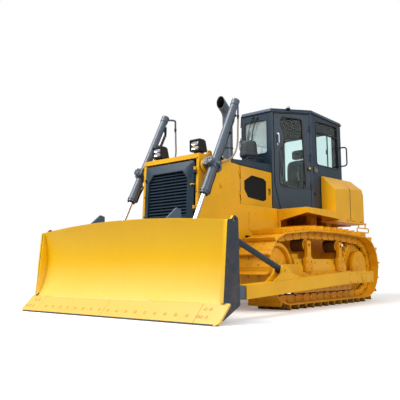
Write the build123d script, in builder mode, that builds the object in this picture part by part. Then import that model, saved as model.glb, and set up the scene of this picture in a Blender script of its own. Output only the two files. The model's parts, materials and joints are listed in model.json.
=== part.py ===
from build123d import *
from math import acos, atan2, cos, degrees, hypot, pi, radians, sin
import os

os.makedirs("parts", exist_ok=True)

# Crawler dozer with a straight blade, in millimetres.
# -Y is the front, +X the machine's own left, +Z up, origin on the ground under the middle.

# ---- tracks -------------------------------------------------------------------------------
TRACK_GAUGE = 1880
SHOE_WIDTH = 510
SHOE_PITCH = 203.2
GROUND_TO_PIN = 130
RAIL_DEPTH = 52
RAIL_INNER = 60
RAIL_OUTER = 105
BUSHING_R = 33
IDLER_Y = -440
IDLER_PIN_R = 407
SPROCKET_Y = 1910
TEETH = 26
CARRIER_Y = (240, 1200)
CARRIER_Z = 865
CARRIER_PIN_R = 144
ROLLER_SPACING = 290
ROLLER_R = 100
SEAT = 0.3
RUNNING_GAP = 0.1
HINGE_R = 14
HINGE_OUT = 15
HINGE_HALF = 50
LEAF = 8
CLEARANCE = 6

# ---- track frames -------------------------------------------------------------------------
FRAME_HALF = 120
FRAME_LOW = 430
FRAME_SHOULDER = 555
FRAME_TOP = 670
GUARD_LOW = 200
GUARD_PLATE = 20

# ---- chassis ------------------------------------------------------------------------------
BELLY_Z = 400
RAIL_TOP_Z = 860
ENGINE_TOP_Z = 1750
CASE_HALF = 470
CASE_FRONT_Y = 1400
CASE_REAR_Y = 2400
CASE_TOP_Z = 1250

EQUALIZER_Y = (40, 200)
EQUALIZER_TOP_Z = 740

# ---- radiator guard and hood --------------------------------------------------------------
GUARD_HALF = 500
GUARD_WALL = 40
GUARD_BOTTOM_Z = 900
GUARD_TOP_Z = 2020
GUARD_FRONT_LOW_Y = -1485
GUARD_FRONT_TOP_Y = -1425
GUARD_REAR_Y = -655
GUARD_REAR_TOP_Y = -760
GUARD_FOOT_Y = -455
GUARD_FOOT_Z = 1042
HOOD_REAR_Y = 600
HOOD_LOW_Z = 1985
HOOD_BAND = 55
HOOD_RISE = 130
HOOD_SHEET = 14
PANEL_TOP_Z = 1430
HOOD_TAPER = 1 / 6
TAPER_START_Y = -700
DOOR_FRONT_Y = -500
DOOR_REAR_Y = 570
DOOR_GAP = 6
DOOR_THICK = 30

# ---- cab ----------------------------------------------------------------------------------
FLOOR_Z = 1425
FENDER_FRONT_Y = 390
CAB_TOP_Z = 3035
ROOF_TOP_Z = 3085
CAB_WALL = 50
CAB_FRONT = (285, 600)
CAB_CORNER = (700, 1150)
CAB_REAR = (660, 2250)

# ---- rear boxes ---------------------------------------------------------------------------
BOX_OUTER_X = 946
BOX_FRONT_Y = 1405
BOX_REAR_Y = 2460
BOX_LOW_Z = 1290
BOX_TOP_Z = 2026

# ---- blade --------------------------------------------------------------------------------
ARM_GAP = 60
ARM_WIDTH = 150
BLADE_OVERHANG = 193
EDGE_OVERHANG = 92
MOLD_TOP = (-2300, 1045)
MOLD_BOTTOM = (-2375, 200)
MOLD_SAG = 95
MOLD_PLATE = 20
CROWN = 80
BACK_Y = -2120
EDGE_TIP = (-2570, 4)
EDGE_THICK = 25
END_PLATE = 28

# ---- lift ---------------------------------------------------------------------------------
ARM_PIVOT = (1350, 400)
ARM_PIVOT_R = 55
ARM_FRONT_Y = -1690
LIFT_X = 660
YOKE = (-1325, 1862)
ROD_EYE = (-1965, 620)
EYE_R = 58
EYE_HALF = 40
BARREL_R = 51
SLEEVE_R = 56
ROD_R = 31
HEAD_CAP = 90
BARREL_UP = 1061
BARREL_DOWN = 446
COLLAR_R = 62
COLLAR_HALF = 60
STUB_R = 30
STUB_REACH = 110
BORE_R = 41
GLAND = 60
PISTON_AT = -100
PIPE_R = 9
ELBOW_R = 14
INNER_BEARING = (522, 575)
OUTER_BEARING = (745, 790)


def save(piece, name):
    """Label a finished sub-part and write it."""
    piece.part.label = name
    export_step(piece.part, f"parts/{name}.step")


def slab(x, y, z, mode=Mode.ADD):
    """A box between two limits on each axis."""
    with Locations(((x[0] + x[1]) / 2, (y[0] + y[1]) / 2, (z[0] + z[1]) / 2)):
        Box(x[1] - x[0], y[1] - y[0], z[1] - z[0], mode=mode)


def side_prism(points, x, mode=Mode.ADD):
    """A (y, z) outline pushed from x[0] to x[1]."""
    with BuildSketch(Plane.YZ.offset(x[0])) as outline:
        Polygon(*points, align=None)
    extrude(outline.sketch, amount=x[1] - x[0], mode=mode)


def plan_prism(points, z, mode=Mode.ADD):
    """An (x, y) outline pushed from z[0] to z[1]."""
    with BuildSketch(Plane.XY.offset(z[0])) as outline:
        Polygon(*points, align=None)
    extrude(outline.sketch, amount=z[1] - z[0], mode=mode)


def cross_rod(centre, x, radius, mode=Mode.ADD):
    """A round bar along X at a (y, z) centre."""
    with BuildSketch(Plane.YZ.offset(x[0])) as disc:
        with Locations(centre):
            Circle(radius)
    extrude(disc.sketch, amount=x[1] - x[0], mode=mode)


def knuckle(plane, u, v, out, radius=HINGE_R):
    """A hinge barrel on a wall plane: at u, standing out, from v[0] to v[1] up the wall."""
    base = plane.origin + plane.x_dir * u + plane.z_dir * out + plane.y_dir * v[0]
    with BuildSketch(Plane(origin=base, x_dir=plane.x_dir, z_dir=plane.y_dir)) as ring:
        Circle(radius)
    extrude(ring.sketch, amount=v[1] - v[0])


def leaf(plane, u, v, thick):
    """A flat plate on a wall plane between limits u and v."""
    with BuildSketch(plane) as plate:
        with Locations(((u[0] + u[1]) / 2, (v[0] + v[1]) / 2)):
            Rectangle(abs(u[1] - u[0]), abs(v[1] - v[0]))
    extrude(plate.sketch, amount=thick)


def rounded(rows):
    """A closed outline from rows of (x, y, corner radius)."""
    with BuildSketch() as outline:
        Polygon(*[row[:2] for row in rows], align=None)
        for x, y, radius in rows:
            corner = outline.vertices().sort_by_distance((x, y, 0))[0]
            fillet(corner, radius)
    return outline.sketch


def tube(points, radius, bend):
    """A round bar along straight runs joined by bends of one radius."""
    with BuildLine() as route:
        FilletPolyline(*points, radius=bend)
    with BuildSketch(Plane(origin=points[0], z_dir=Vector(*points[1]) - Vector(*points[0]))) as disc:
        Circle(radius)
    sweep(disc.sketch, path=route.wire())


def both_sides():
    """Add the mirror image on the other side of the machine."""
    mirror(about=Plane.YZ)


# ---- the chain's path ---------------------------------------------------------------------
SPROCKET_PIN_R = SHOE_PITCH * TEETH / (4 * pi)
SPROCKET = (SPROCKET_Y, GROUND_TO_PIN + SPROCKET_PIN_R)
TRACK_X = TRACK_GAUGE / 2
ARM_X = TRACK_X + SHOE_WIDTH / 2 + ARM_GAP + ARM_WIDTH / 2
BLADE_HALF = ARM_X + ARM_WIDTH / 2 + BLADE_OVERHANG
EDGE_HALF = BLADE_HALF + EDGE_OVERHANG


def belt(circles):
    """Arcs and straight runs of a belt laid round (y, z, radius) circles."""
    normals = []
    for (y0, z0, r0), (y1, z1, r1) in zip(circles, circles[1:] + circles[:1]):
        heading = atan2(z1 - z0, y1 - y0)
        normals.append(heading - acos((r0 - r1) / hypot(y1 - y0, z1 - z0)))
    runs = []
    for i, (y, z, r) in enumerate(circles):
        after = circles[(i + 1) % len(circles)]
        sweep = (normals[i] - normals[i - 1]) % (2 * pi)
        runs.append(("arc", (y, z, r), normals[i - 1], r * sweep))
        out = (cos(normals[i]), sin(normals[i]))
        start = (y + r * out[0], z + r * out[1])
        end = (after[0] + after[2] * out[0], after[1] + after[2] * out[1])
        length = hypot(end[0] - start[0], end[1] - start[1])
        runs.append(("line", start, end, length))
    return runs


def belt_length(runs):
    return sum(run[3] for run in runs)


def belt_point(runs, distance):
    """The (y, z) point at a distance along the belt."""
    distance %= belt_length(runs)
    for kind, first, second, length in runs:
        if distance > length:
            distance -= length
            continue
        if kind == "line":
            share = distance / length
            return (
                first[0] + (second[0] - first[0]) * share,
                first[1] + (second[1] - first[1]) * share,
            )
        y, z, r = first
        angle = second + distance / r
        return (y + r * cos(angle), z + r * sin(angle))
    return belt_point(runs, 0)


def chain_circles(idler_y):
    return [
        (idler_y, GROUND_TO_PIN + IDLER_PIN_R, IDLER_PIN_R),
        (*SPROCKET, SPROCKET_PIN_R),
        (CARRIER_Y[1], CARRIER_Z, CARRIER_PIN_R),
        (CARRIER_Y[0], CARRIER_Z, CARRIER_PIN_R),
    ]


# The adjuster sets the idler where the loop holds a whole number of pitches.
SHOES = round(belt_length(belt(chain_circles(IDLER_Y))) / SHOE_PITCH)
idler_y = IDLER_Y
for _ in range(8):
    spare = SHOES * SHOE_PITCH - belt_length(belt(chain_circles(idler_y)))
    idler_y -= spare / 2
IDLER = (idler_y, GROUND_TO_PIN + IDLER_PIN_R)
PATH = belt(chain_circles(idler_y))
PINS = [belt_point(PATH, i * SHOE_PITCH) for i in range(SHOES)]

# One link, from its first pin: share of the pitch from its middle, height outside the pins.
SHOE_OUTLINE = [
    (-0.47, 60),
    (-0.41, 68),
    (-0.38, 130),
    (-0.32, 130),
    (-0.28, 66),
    (0.42, 66),
    (0.47, 60),
]
SHOE_UNDERSIDE = [(-0.44, 47), (0.44, 47)]
RAIL_BACK = [(-0.46, 52), (0.46, 52)]
RAIL_TREAD = [(-0.42, -34), (-0.34, -RAIL_DEPTH), (0.34, -RAIL_DEPTH), (0.42, -34)]


def round_the_loop(link_points):
    """The same points on every link, in order round the loop."""
    loop = []
    for (y0, z0), (y1, z1) in zip(PINS, PINS[1:] + PINS[:1]):
        length = hypot(y1 - y0, z1 - z0)
        along = ((y1 - y0) / length, (z1 - z0) / length)
        for share, out in link_points:
            reach = share * SHOE_PITCH
            loop.append(
                (
                    (y0 + y1) / 2 + reach * along[0] + out * along[1],
                    (z0 + z1) / 2 + reach * along[1] - out * along[0],
                )
            )
    return loop


def room_inside(centre):
    """Distance from a centre to the nearest face of the rails' running surface."""
    loop = round_the_loop(RAIL_TREAD)
    nearest = []
    for (y0, z0), (y1, z1) in zip(loop, loop[1:] + loop[:1]):
        run = (y1 - y0, z1 - z0)
        share = ((centre[0] - y0) * run[0] + (centre[1] - z0) * run[1]) / (run[0] ** 2 + run[1] ** 2)
        share = min(1, max(0, share))
        nearest.append(hypot(y0 + share * run[0] - centre[0], z0 + share * run[1] - centre[1]))
    return min(nearest)


# ---- tracks -------------------------------------------------------------------------------
for side, name in ((1, "left"), (-1, "right")):
    middle = side * TRACK_X
    with BuildPart() as track:
        with BuildSketch(Plane.YZ.offset(middle - SHOE_WIDTH / 2)):
            Polygon(*round_the_loop(SHOE_OUTLINE), align=None)
            Polygon(*round_the_loop(SHOE_UNDERSIDE), align=None, mode=Mode.SUBTRACT)
        extrude(amount=SHOE_WIDTH)
        for inner in (-RAIL_OUTER, RAIL_INNER):
            with BuildSketch(Plane.YZ.offset(middle + inner)):
                Polygon(*round_the_loop(RAIL_BACK), align=None)
                Polygon(*round_the_loop(RAIL_TREAD), align=None, mode=Mode.SUBTRACT)
            extrude(amount=RAIL_OUTER - RAIL_INNER)
        with BuildSketch(Plane.YZ.offset(middle - RAIL_INNER)):
            with Locations(*PINS):
                RegularPolygon(BUSHING_R, 8)
        extrude(amount=2 * RAIL_INNER)
    save(track, f"track_{name}")

# ---- sprockets ----------------------------------------------------------------------------
TOOTH_HALF = 35
HUB_R = 230
first_pin = min(PINS, key=lambda p: abs(hypot(p[0] - SPROCKET[0], p[1] - SPROCKET[1]) - SPROCKET_PIN_R))
tooth_start = degrees(atan2(first_pin[1] - SPROCKET[1], first_pin[0] - SPROCKET[0]))
POCKET_R = BUSHING_R + 2
TIP_R = SPROCKET_PIN_R + 16
with BuildPart() as sprockets:
    with BuildSketch(Plane.YZ.offset(TRACK_X - TOOTH_HALF)):
        with Locations(SPROCKET):
            Circle(TIP_R)
            with PolarLocations(SPROCKET_PIN_R, TEETH, start_angle=tooth_start):
                Circle(POCKET_R, mode=Mode.SUBTRACT)
                Polygon(
                    (0, -POCKET_R), (40, -POCKET_R - 6), (40, POCKET_R + 6), (0, POCKET_R),
                    align=None, mode=Mode.SUBTRACT,
                )
    extrude(amount=2 * TOOTH_HALF)
    cross_rod(SPROCKET, (TRACK_X - 150, TRACK_X + 90), HUB_R)
    both_sides()
save(sprockets, "sprockets")

with BuildPart() as final_drives:
    cross_rod(SPROCKET, (CASE_HALF, TRACK_X - 150), 260)
    cross_rod(SPROCKET, (TRACK_X + 90, TRACK_X + 135), 255)
    both_sides()
save(final_drives, "final_drives")

# ---- idlers -------------------------------------------------------------------------------
IDLER_R = room_inside(IDLER) - SEAT
with BuildPart() as idlers:
    with BuildSketch(Plane.XY.offset(IDLER[1])):
        # columns: offset from the track's middle, radius
        Polygon(
            *[
                (TRACK_X + u, IDLER[0] + r)
                for u, r in (
                    (-110, 40), (-110, 85), (-70, 100), (-40, 290), (-90, 300), (-90, IDLER_R),
                    (-50, IDLER_R), (-45, IDLER_R + 20), (45, IDLER_R + 20), (50, IDLER_R),
                    (90, IDLER_R), (90, 300), (40, 290), (70, 100), (110, 85), (110, 40),
                )
            ],
            align=None,
        )
    revolve(axis=Axis((0, IDLER[0], IDLER[1]), (1, 0, 0)))
    cross_rod(IDLER, (TRACK_X - 110, TRACK_X + 110), 40)
    both_sides()
save(idlers, "idlers")

# ---- track rollers ------------------------------------------------------------------------
RAIL_RUN_Z = GROUND_TO_PIN + RAIL_DEPTH
ROLLER_Z = RAIL_RUN_Z + ROLLER_R + SEAT
ROLLER_FRONT_Y = IDLER[0] + 400
ROLLER_REAR_Y = SPROCKET_Y - 455
roller_gaps = int((ROLLER_REAR_Y - ROLLER_FRONT_Y) / ROLLER_SPACING)
roller_step = (ROLLER_REAR_Y - ROLLER_FRONT_Y) / roller_gaps
with BuildPart() as track_rollers:
    for i in range(roller_gaps + 1):
        seat_point = (ROLLER_FRONT_Y + i * roller_step, ROLLER_Z)
        for low in (-RAIL_OUTER, RAIL_INNER - 5):
            cross_rod(seat_point, (TRACK_X + low, TRACK_X + low + 50), ROLLER_R)
        cross_rod(seat_point, (TRACK_X - FRAME_HALF, TRACK_X + FRAME_HALF), 60)
    both_sides()
save(track_rollers, "track_rollers")

# ---- carrier rollers ----------------------------------------------------------------------
with BuildPart() as carrier_rollers:
    for carrier_y in CARRIER_Y:
        centre = (carrier_y, CARRIER_Z)
        carrier_r = room_inside(centre) - SEAT
        for low in (-RAIL_OUTER, RAIL_INNER - 5):
            cross_rod(centre, (TRACK_X + low, TRACK_X + low + 50), carrier_r)
        cross_rod(centre, (TRACK_X - RAIL_OUTER, TRACK_X + FRAME_HALF), 50)
        side_prism(
            [
                (carrier_y - 55, 490), (carrier_y + 95, 490), (carrier_y + 95, 680),
                (carrier_y + 50, 700), (carrier_y + 50, CARRIER_Z + 60),
                (carrier_y - 50, CARRIER_Z + 60), (carrier_y - 50, 700), (carrier_y - 95, 680),
                (carrier_y - 95, 490),
            ],
            (TRACK_X + FRAME_HALF, TRACK_X + FRAME_HALF + 45),
        )
    both_sides()
save(carrier_rollers, "carrier_rollers")

# ---- track frames -------------------------------------------------------------------------
FRAME_FRONT_Y = IDLER[0] + IDLER_PIN_R
FRAME_REAR_Y = SPROCKET_Y - TIP_R - 20
with BuildPart() as track_frames:
    with BuildSketch(Plane.XZ.offset(-FRAME_FRONT_Y)):
        Polygon(
            *[
                (TRACK_X + u, z)
                for u, z in (
                    (-FRAME_HALF, FRAME_LOW), (FRAME_HALF, FRAME_LOW), (FRAME_HALF, FRAME_SHOULDER),
                    (70, FRAME_TOP), (-70, FRAME_TOP), (-FRAME_HALF, FRAME_SHOULDER),
                )
            ],
            align=None,
        )
    extrude(amount=-(FRAME_REAR_Y - FRAME_FRONT_Y))
    for low in (-FRAME_HALF - GUARD_PLATE, FRAME_HALF):
        side_prism(
            [
                (ROLLER_FRONT_Y - 130, 230), (ROLLER_FRONT_Y - 90, GUARD_LOW),
                (ROLLER_REAR_Y + 90, GUARD_LOW), (ROLLER_REAR_Y + 130, 230),
                (ROLLER_REAR_Y + 130, 490), (ROLLER_FRONT_Y - 130, 490),
            ],
            (TRACK_X + low, TRACK_X + low + GUARD_PLATE),
        )
    for low in (-135, 110):
        side_prism(
            [
                (IDLER[0] - 90, IDLER[1] - 60), (FRAME_FRONT_Y, FRAME_LOW),
                (FRAME_FRONT_Y + 120, FRAME_LOW), (FRAME_FRONT_Y + 120, FRAME_SHOULDER),
                (FRAME_FRONT_Y, FRAME_SHOULDER + 40), (IDLER[0] - 90, IDLER[1] + 60),
            ],
            (TRACK_X + low, TRACK_X + low + 25),
        )
    cross_rod(ARM_PIVOT, (TRACK_X + FRAME_HALF, ARM_X + ARM_WIDTH / 2 - 10), ARM_PIVOT_R)
    both_sides()
save(track_frames, "track_frames")

# ---- chassis ------------------------------------------------------------------------------
RAIL_INNER_X = 300
RAIL_OUTER_X = 380
NOSE_HALF = 480
with BuildPart() as main_frame:
    slab((RAIL_INNER_X, RAIL_OUTER_X), (-1000, CASE_FRONT_Y), (560, RAIL_TOP_Z))
    both_sides()
    slab((-RAIL_OUTER_X, RAIL_OUTER_X), (-1150, CASE_FRONT_Y), (BELLY_Z, 560))
    slab((-NOSE_HALF, NOSE_HALF), (-1400, -1000), (560, GUARD_BOTTOM_Z))
    slab((-CASE_HALF, CASE_HALF), (CASE_FRONT_Y, CASE_REAR_Y), (430, CASE_TOP_Z))
    slab(
        (-RAIL_OUTER_X - 20, RAIL_OUTER_X + 20),
        (EQUALIZER_Y[0] - 15, EQUALIZER_Y[1] + 15),
        (FRAME_TOP - 15, EQUALIZER_TOP_Z),
        mode=Mode.SUBTRACT,
    )
save(main_frame, "main_frame")

with BuildPart() as equalizer_bar:
    slab((-TRACK_X, TRACK_X), EQUALIZER_Y, (FRAME_TOP, EQUALIZER_TOP_Z))
save(equalizer_bar, "equalizer_bar")

with BuildPart() as engine_block:
    slab((-RAIL_INNER_X - 10, RAIL_INNER_X + 10), (GUARD_FOOT_Y + 5, 200), (RAIL_TOP_Z, ENGINE_TOP_Z))
save(engine_block, "engine_block")

# ---- radiator guard -----------------------------------------------------------------------
GUARD_ARC = ((-636, 1229), (-583, 1107), (GUARD_FOOT_Y, GUARD_FOOT_Z))


def guard_rear_edge(gap):
    """The guard's rear edge, from its top down to the swept foot, moved back by a gap."""
    arc = [(y + gap, z) for y, z in GUARD_ARC]
    Polyline((GUARD_REAR_TOP_Y + gap, HOOD_LOW_Z), (GUARD_REAR_Y + gap, PANEL_TOP_Z), arc[0])
    ThreePointArc(*arc)
    return arc[2]


CORE_Y = (-1340, -1180)
with BuildPart() as radiator_core:
    slab(
        (-GUARD_HALF + GUARD_WALL, GUARD_HALF - GUARD_WALL), CORE_Y,
        (GUARD_BOTTOM_Z + 60, GUARD_TOP_Z - 60),
    )
save(radiator_core, "radiator_core")

FACE_LEAN = atan2(GUARD_FRONT_TOP_Y - GUARD_FRONT_LOW_Y, GUARD_TOP_Z - GUARD_BOTTOM_Z)
GUARD_FACE = Plane(
    origin=(0, GUARD_FRONT_LOW_Y, GUARD_BOTTOM_Z),
    x_dir=(1, 0, 0),
    z_dir=(0, -cos(FACE_LEAN), sin(FACE_LEAN)),
)
MASK_HALF = 440
MASK_LOW = 265
MASK_HIGH = 1030
MASK_THICK = 50
MASK_BAR = 90
LOUVRES = 18
LOUVRE_DEEP = 34
MASK_HINGE_X = 458
MASK_HINGE_OUT = 30
MASK_HINGES = (400, 900)
BOSS_R = 62
LUG_THICK = 24
with BuildPart() as radiator_guard:
    with BuildSketch(Plane.YZ.offset(-GUARD_HALF)) as outline:
        with BuildLine():
            foot = guard_rear_edge(0)
            Polyline(
                foot, (GUARD_FOOT_Y, GUARD_BOTTOM_Z), (GUARD_FRONT_LOW_Y, GUARD_BOTTOM_Z),
                (GUARD_FRONT_TOP_Y, GUARD_TOP_Z), (GUARD_REAR_TOP_Y, GUARD_TOP_Z),
                (GUARD_REAR_TOP_Y, HOOD_LOW_Z),
            )
        make_face()
    extrude(outline.sketch, amount=2 * GUARD_HALF)
    inner = [
        (GUARD_FRONT_LOW_Y - 50, GUARD_BOTTOM_Z + 60), (GUARD_FOOT_Y + 60, GUARD_BOTTOM_Z + 60),
        (GUARD_FOOT_Y + 60, GUARD_TOP_Z - 60), (GUARD_FRONT_TOP_Y - 90, GUARD_TOP_Z - 60),
    ]
    side_prism(inner, (-GUARD_HALF + GUARD_WALL, GUARD_HALF - GUARD_WALL), mode=Mode.SUBTRACT)
    cross_rod((YOKE[0] + 20, YOKE[1]), (GUARD_HALF, GUARD_HALF + 12), BOSS_R + 18)
    side_prism(
        [
            (YOKE[0] + 30, GUARD_TOP_Z - 60), (YOKE[0] + 190, GUARD_TOP_Z - 60),
            (YOKE[0] + 150, GUARD_TOP_Z + 62), (YOKE[0] + 90, GUARD_TOP_Z + 62),
        ],
        (GUARD_HALF - LUG_THICK, GUARD_HALF),
    )
    cross_rod((YOKE[0] + 120, GUARD_TOP_Z + 28), (GUARD_HALF - LUG_THICK, GUARD_HALF), 18, mode=Mode.SUBTRACT)
    both_sides()
    for v in MASK_HINGES:
        knuckle(GUARD_FACE, MASK_HINGE_X, (v + SEAT / 2, v + 40), MASK_HINGE_OUT)
        leaf(GUARD_FACE, (MASK_HINGE_X - 8, MASK_HINGE_X + 8), (v + SEAT / 2, v + 40), MASK_HINGE_OUT)
save(radiator_guard, "radiator_guard")

OPENING_LOW = MASK_LOW + 45
OPENING_HIGH = MASK_HIGH - 130
OPENING_SHOULDER = MASK_HIGH - 235
OPENING_TOP_HALF = 265
with BuildPart() as grille_door:
    with BuildSketch(GUARD_FACE.offset(SEAT)):
        Polygon(
            (-MASK_HALF, MASK_LOW), (MASK_HALF, MASK_LOW), (MASK_HALF, MASK_HIGH - 30),
            (MASK_HALF - 30, MASK_HIGH), (-MASK_HALF + 30, MASK_HIGH), (-MASK_HALF, MASK_HIGH - 30),
            align=None,
        )
        Polygon(
            (-MASK_HALF + MASK_BAR, OPENING_LOW), (MASK_HALF - MASK_BAR, OPENING_LOW),
            (MASK_HALF - MASK_BAR, OPENING_SHOULDER), (OPENING_TOP_HALF, OPENING_HIGH),
            (-OPENING_TOP_HALF, OPENING_HIGH), (-MASK_HALF + MASK_BAR, OPENING_SHOULDER),
            align=None, mode=Mode.SUBTRACT,
        )
    extrude(amount=MASK_THICK)
    for v in MASK_HINGES:
        knuckle(GUARD_FACE, MASK_HINGE_X, (v - 40, v - SEAT / 2), MASK_HINGE_OUT)
        leaf(
            GUARD_FACE.offset(MASK_HINGE_OUT - 6), (MASK_HALF - 5, MASK_HINGE_X), (v - 40, v - SEAT / 2), 12
        )
save(grille_door, "grille_door")

# Each louvre is a slat that leans, its front edge low, and ends in the frame's opening.
with BuildPart() as grille_louvres:
    step = (OPENING_HIGH - OPENING_LOW) / LOUVRES
    for i in range(LOUVRES):
        low = OPENING_LOW + (i + 0.25) * step
        above = max(0, low + 22 - OPENING_SHOULDER) / (OPENING_HIGH - OPENING_SHOULDER)
        half = MASK_HALF - MASK_BAR - above * (MASK_HALF - MASK_BAR - OPENING_TOP_HALF)
        with BuildSketch(Plane.YZ.offset(-half)) as slat:
            with BuildLine():
                foot = GUARD_FACE.origin + GUARD_FACE.y_dir * low
                out = GUARD_FACE.z_dir
                up = GUARD_FACE.y_dir
                corners = [
                    foot + out * LOUVRE_DEEP, foot + out * LOUVRE_DEEP + up * 8,
                    foot + out * 8 + up * 22, foot + out * 8 + up * 14,
                ]
                Polyline(*[(c.Y, c.Z) for c in corners], close=True)
            make_face()
        extrude(slat.sketch, amount=2 * half)
    for x in (-120, 120):
        with BuildSketch(GUARD_FACE.offset(6)) as bar:
            with Locations((x, (OPENING_LOW + OPENING_HIGH) / 2)):
                Rectangle(22, OPENING_HIGH - OPENING_LOW)
        extrude(bar.sketch, amount=12)
save(grille_louvres, "grille_louvres")

# ---- hood ---------------------------------------------------------------------------------


def hood_x(y):
    """Half-width of the hood at a station, which narrows towards the cab."""
    return GUARD_HALF - max(0, y - TAPER_START_Y) * HOOD_TAPER


STACK_Y = -170
STACK_R = 77
CLEANER_Y = 370
STEM_R = 60


def hood_band(inset):
    """The hood's side outline, lowered and drawn in by an inset."""
    front = GUARD_REAR_TOP_Y + inset
    rear = HOOD_REAR_Y - inset
    return [
        (front, HOOD_LOW_Z - 2 * inset), (rear, HOOD_LOW_Z + HOOD_BAND - 2 * inset),
        (rear, HOOD_LOW_Z + HOOD_BAND + HOOD_RISE - inset), (front, HOOD_LOW_Z + HOOD_BAND - inset),
    ]


with BuildPart() as hood_room:
    side_prism(hood_band(HOOD_SHEET), (-GUARD_HALF, GUARD_HALF))
    plan_prism(
        [
            (GUARD_HALF - HOOD_SHEET, GUARD_REAR_TOP_Y), (GUARD_HALF - HOOD_SHEET, TAPER_START_Y),
            (hood_x(HOOD_REAR_Y) - HOOD_SHEET, HOOD_REAR_Y), (HOOD_SHEET - hood_x(HOOD_REAR_Y), HOOD_REAR_Y),
            (HOOD_SHEET - GUARD_HALF, TAPER_START_Y), (HOOD_SHEET - GUARD_HALF, GUARD_REAR_TOP_Y),
        ],
        (1900, 2200),
        mode=Mode.INTERSECT,
    )

with BuildPart() as hood_top:
    side_prism(hood_band(0), (-GUARD_HALF, GUARD_HALF))
    plan_prism(
        [
            (-GUARD_HALF, GUARD_REAR_TOP_Y - 10), (GUARD_HALF, GUARD_REAR_TOP_Y - 10),
            (GUARD_HALF, TAPER_START_Y), (hood_x(HOOD_REAR_Y), HOOD_REAR_Y),
            (-hood_x(HOOD_REAR_Y), HOOD_REAR_Y), (-GUARD_HALF, TAPER_START_Y),
        ],
        (1900, 2200),
        mode=Mode.INTERSECT,
    )
    add(hood_room.part, mode=Mode.SUBTRACT)
    with Locations((0, STACK_Y, 2080)):
        Cylinder(STACK_R + SEAT, 400, mode=Mode.SUBTRACT)
    with Locations((0, CLEANER_Y, 2080)):
        Cylinder(STEM_R + SEAT, 400, mode=Mode.SUBTRACT)
save(hood_top, "hood_top")


def handed(points, sign):
    """On the right side a wall plane's up axis points down."""
    return [(u, z * sign, *rest) for u, z, *rest in points]


def hood_plane(y, sign):
    """Upright plane on the hood's tapered side, x forward to rear, y up, normal outward."""
    length = hypot(1, HOOD_TAPER)
    return Plane(
        origin=(sign * hood_x(y), y, 0),
        x_dir=(-sign * HOOD_TAPER / length, 1 / length, 0),
        z_dir=(sign / length, HOOD_TAPER / length, 0),
    )


DOOR_PLANE = hood_plane(DOOR_FRONT_Y, 1)
ENGINE_DOOR_HINGES = (1560, 1860)
DOOR_LOW_Z = PANEL_TOP_Z + 7
PANEL_LOW_Z = 1000
strip_end = DOOR_FRONT_Y - DOOR_GAP
with BuildPart() as side_panels:
    plan_prism(
        [
            (GUARD_HALF, GUARD_REAR_TOP_Y), (GUARD_HALF, TAPER_START_Y),
            (hood_x(strip_end), strip_end), (hood_x(strip_end) - DOOR_THICK, strip_end),
            (GUARD_HALF - DOOR_THICK, TAPER_START_Y), (GUARD_HALF - DOOR_THICK, GUARD_REAR_TOP_Y),
        ],
        (PANEL_TOP_Z, HOOD_LOW_Z),
    )
    side_prism(
        [
            (GUARD_REAR_Y + SEAT, PANEL_TOP_Z), (GUARD_REAR_TOP_Y + SEAT, HOOD_LOW_Z),
            (DOOR_FRONT_Y, HOOD_LOW_Z), (DOOR_FRONT_Y, PANEL_TOP_Z),
        ],
        (0, GUARD_HALF + 10),
        mode=Mode.INTERSECT,
    )
    with BuildSketch(Plane.YZ.offset(GUARD_HALF - DOOR_THICK)) as outline:
        with BuildLine():
            foot = guard_rear_edge(SEAT)
            Polyline(
                foot, (foot[0], PANEL_LOW_Z), (FENDER_FRONT_Y, PANEL_LOW_Z), (FENDER_FRONT_Y, HOOD_LOW_Z),
                (GUARD_REAR_TOP_Y + SEAT, HOOD_LOW_Z),
            )
        make_face()
        with Locations((0, PANEL_TOP_Z + 500)):
            Rectangle(3000, 1000, mode=Mode.SUBTRACT)
    extrude(outline.sketch, amount=DOOR_THICK)
    for z in ENGINE_DOOR_HINGES:
        knuckle(DOOR_PLANE, -DOOR_GAP / 2, (z + SEAT / 2, z + HINGE_HALF), HINGE_OUT)
        leaf(DOOR_PLANE, (-50, -DOOR_GAP / 2), (z + SEAT / 2, z + HINGE_HALF), LEAF)
    both_sides()
save(side_panels, "side_panels")

# The cooling window in each door, as (distance behind the door's front edge, height).
DOOR_MESH = [
    (123, 1665), (239, 1558), (755, 1549), (856, 1580), (868, 1859), (772, 1891), (372, 1889), (125, 1781),
]
MESH_RECESS = 12
for sign, name in ((1, "left"), (-1, "right")):
    span = (DOOR_REAR_Y - DOOR_FRONT_Y) * hypot(1, HOOD_TAPER)
    door_points = [
        (0, DOOR_LOW_Z), (span, DOOR_LOW_Z + 28), (span, HOOD_LOW_Z + 45), (0, HOOD_LOW_Z),
    ]
    plane = hood_plane(DOOR_FRONT_Y, sign)
    with BuildPart() as engine_door:
        with BuildSketch(plane) as outline:
            Polygon(*handed(door_points, sign), align=None)
        extrude(outline.sketch, amount=-DOOR_THICK)
        with BuildSketch(plane) as window:
            Polygon(*handed(DOOR_MESH, sign), align=None)
        extrude(window.sketch, amount=-MESH_RECESS, mode=Mode.SUBTRACT)
        for z in ENGINE_DOOR_HINGES:
            heights = [sign * (z - HINGE_HALF), sign * (z - SEAT / 2)]
            knuckle(plane, -DOOR_GAP / 2, sorted(heights), HINGE_OUT)
            leaf(plane, (-DOOR_GAP / 2, 50), heights, LEAF)
    save(engine_door, f"engine_door_{name}")

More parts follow.
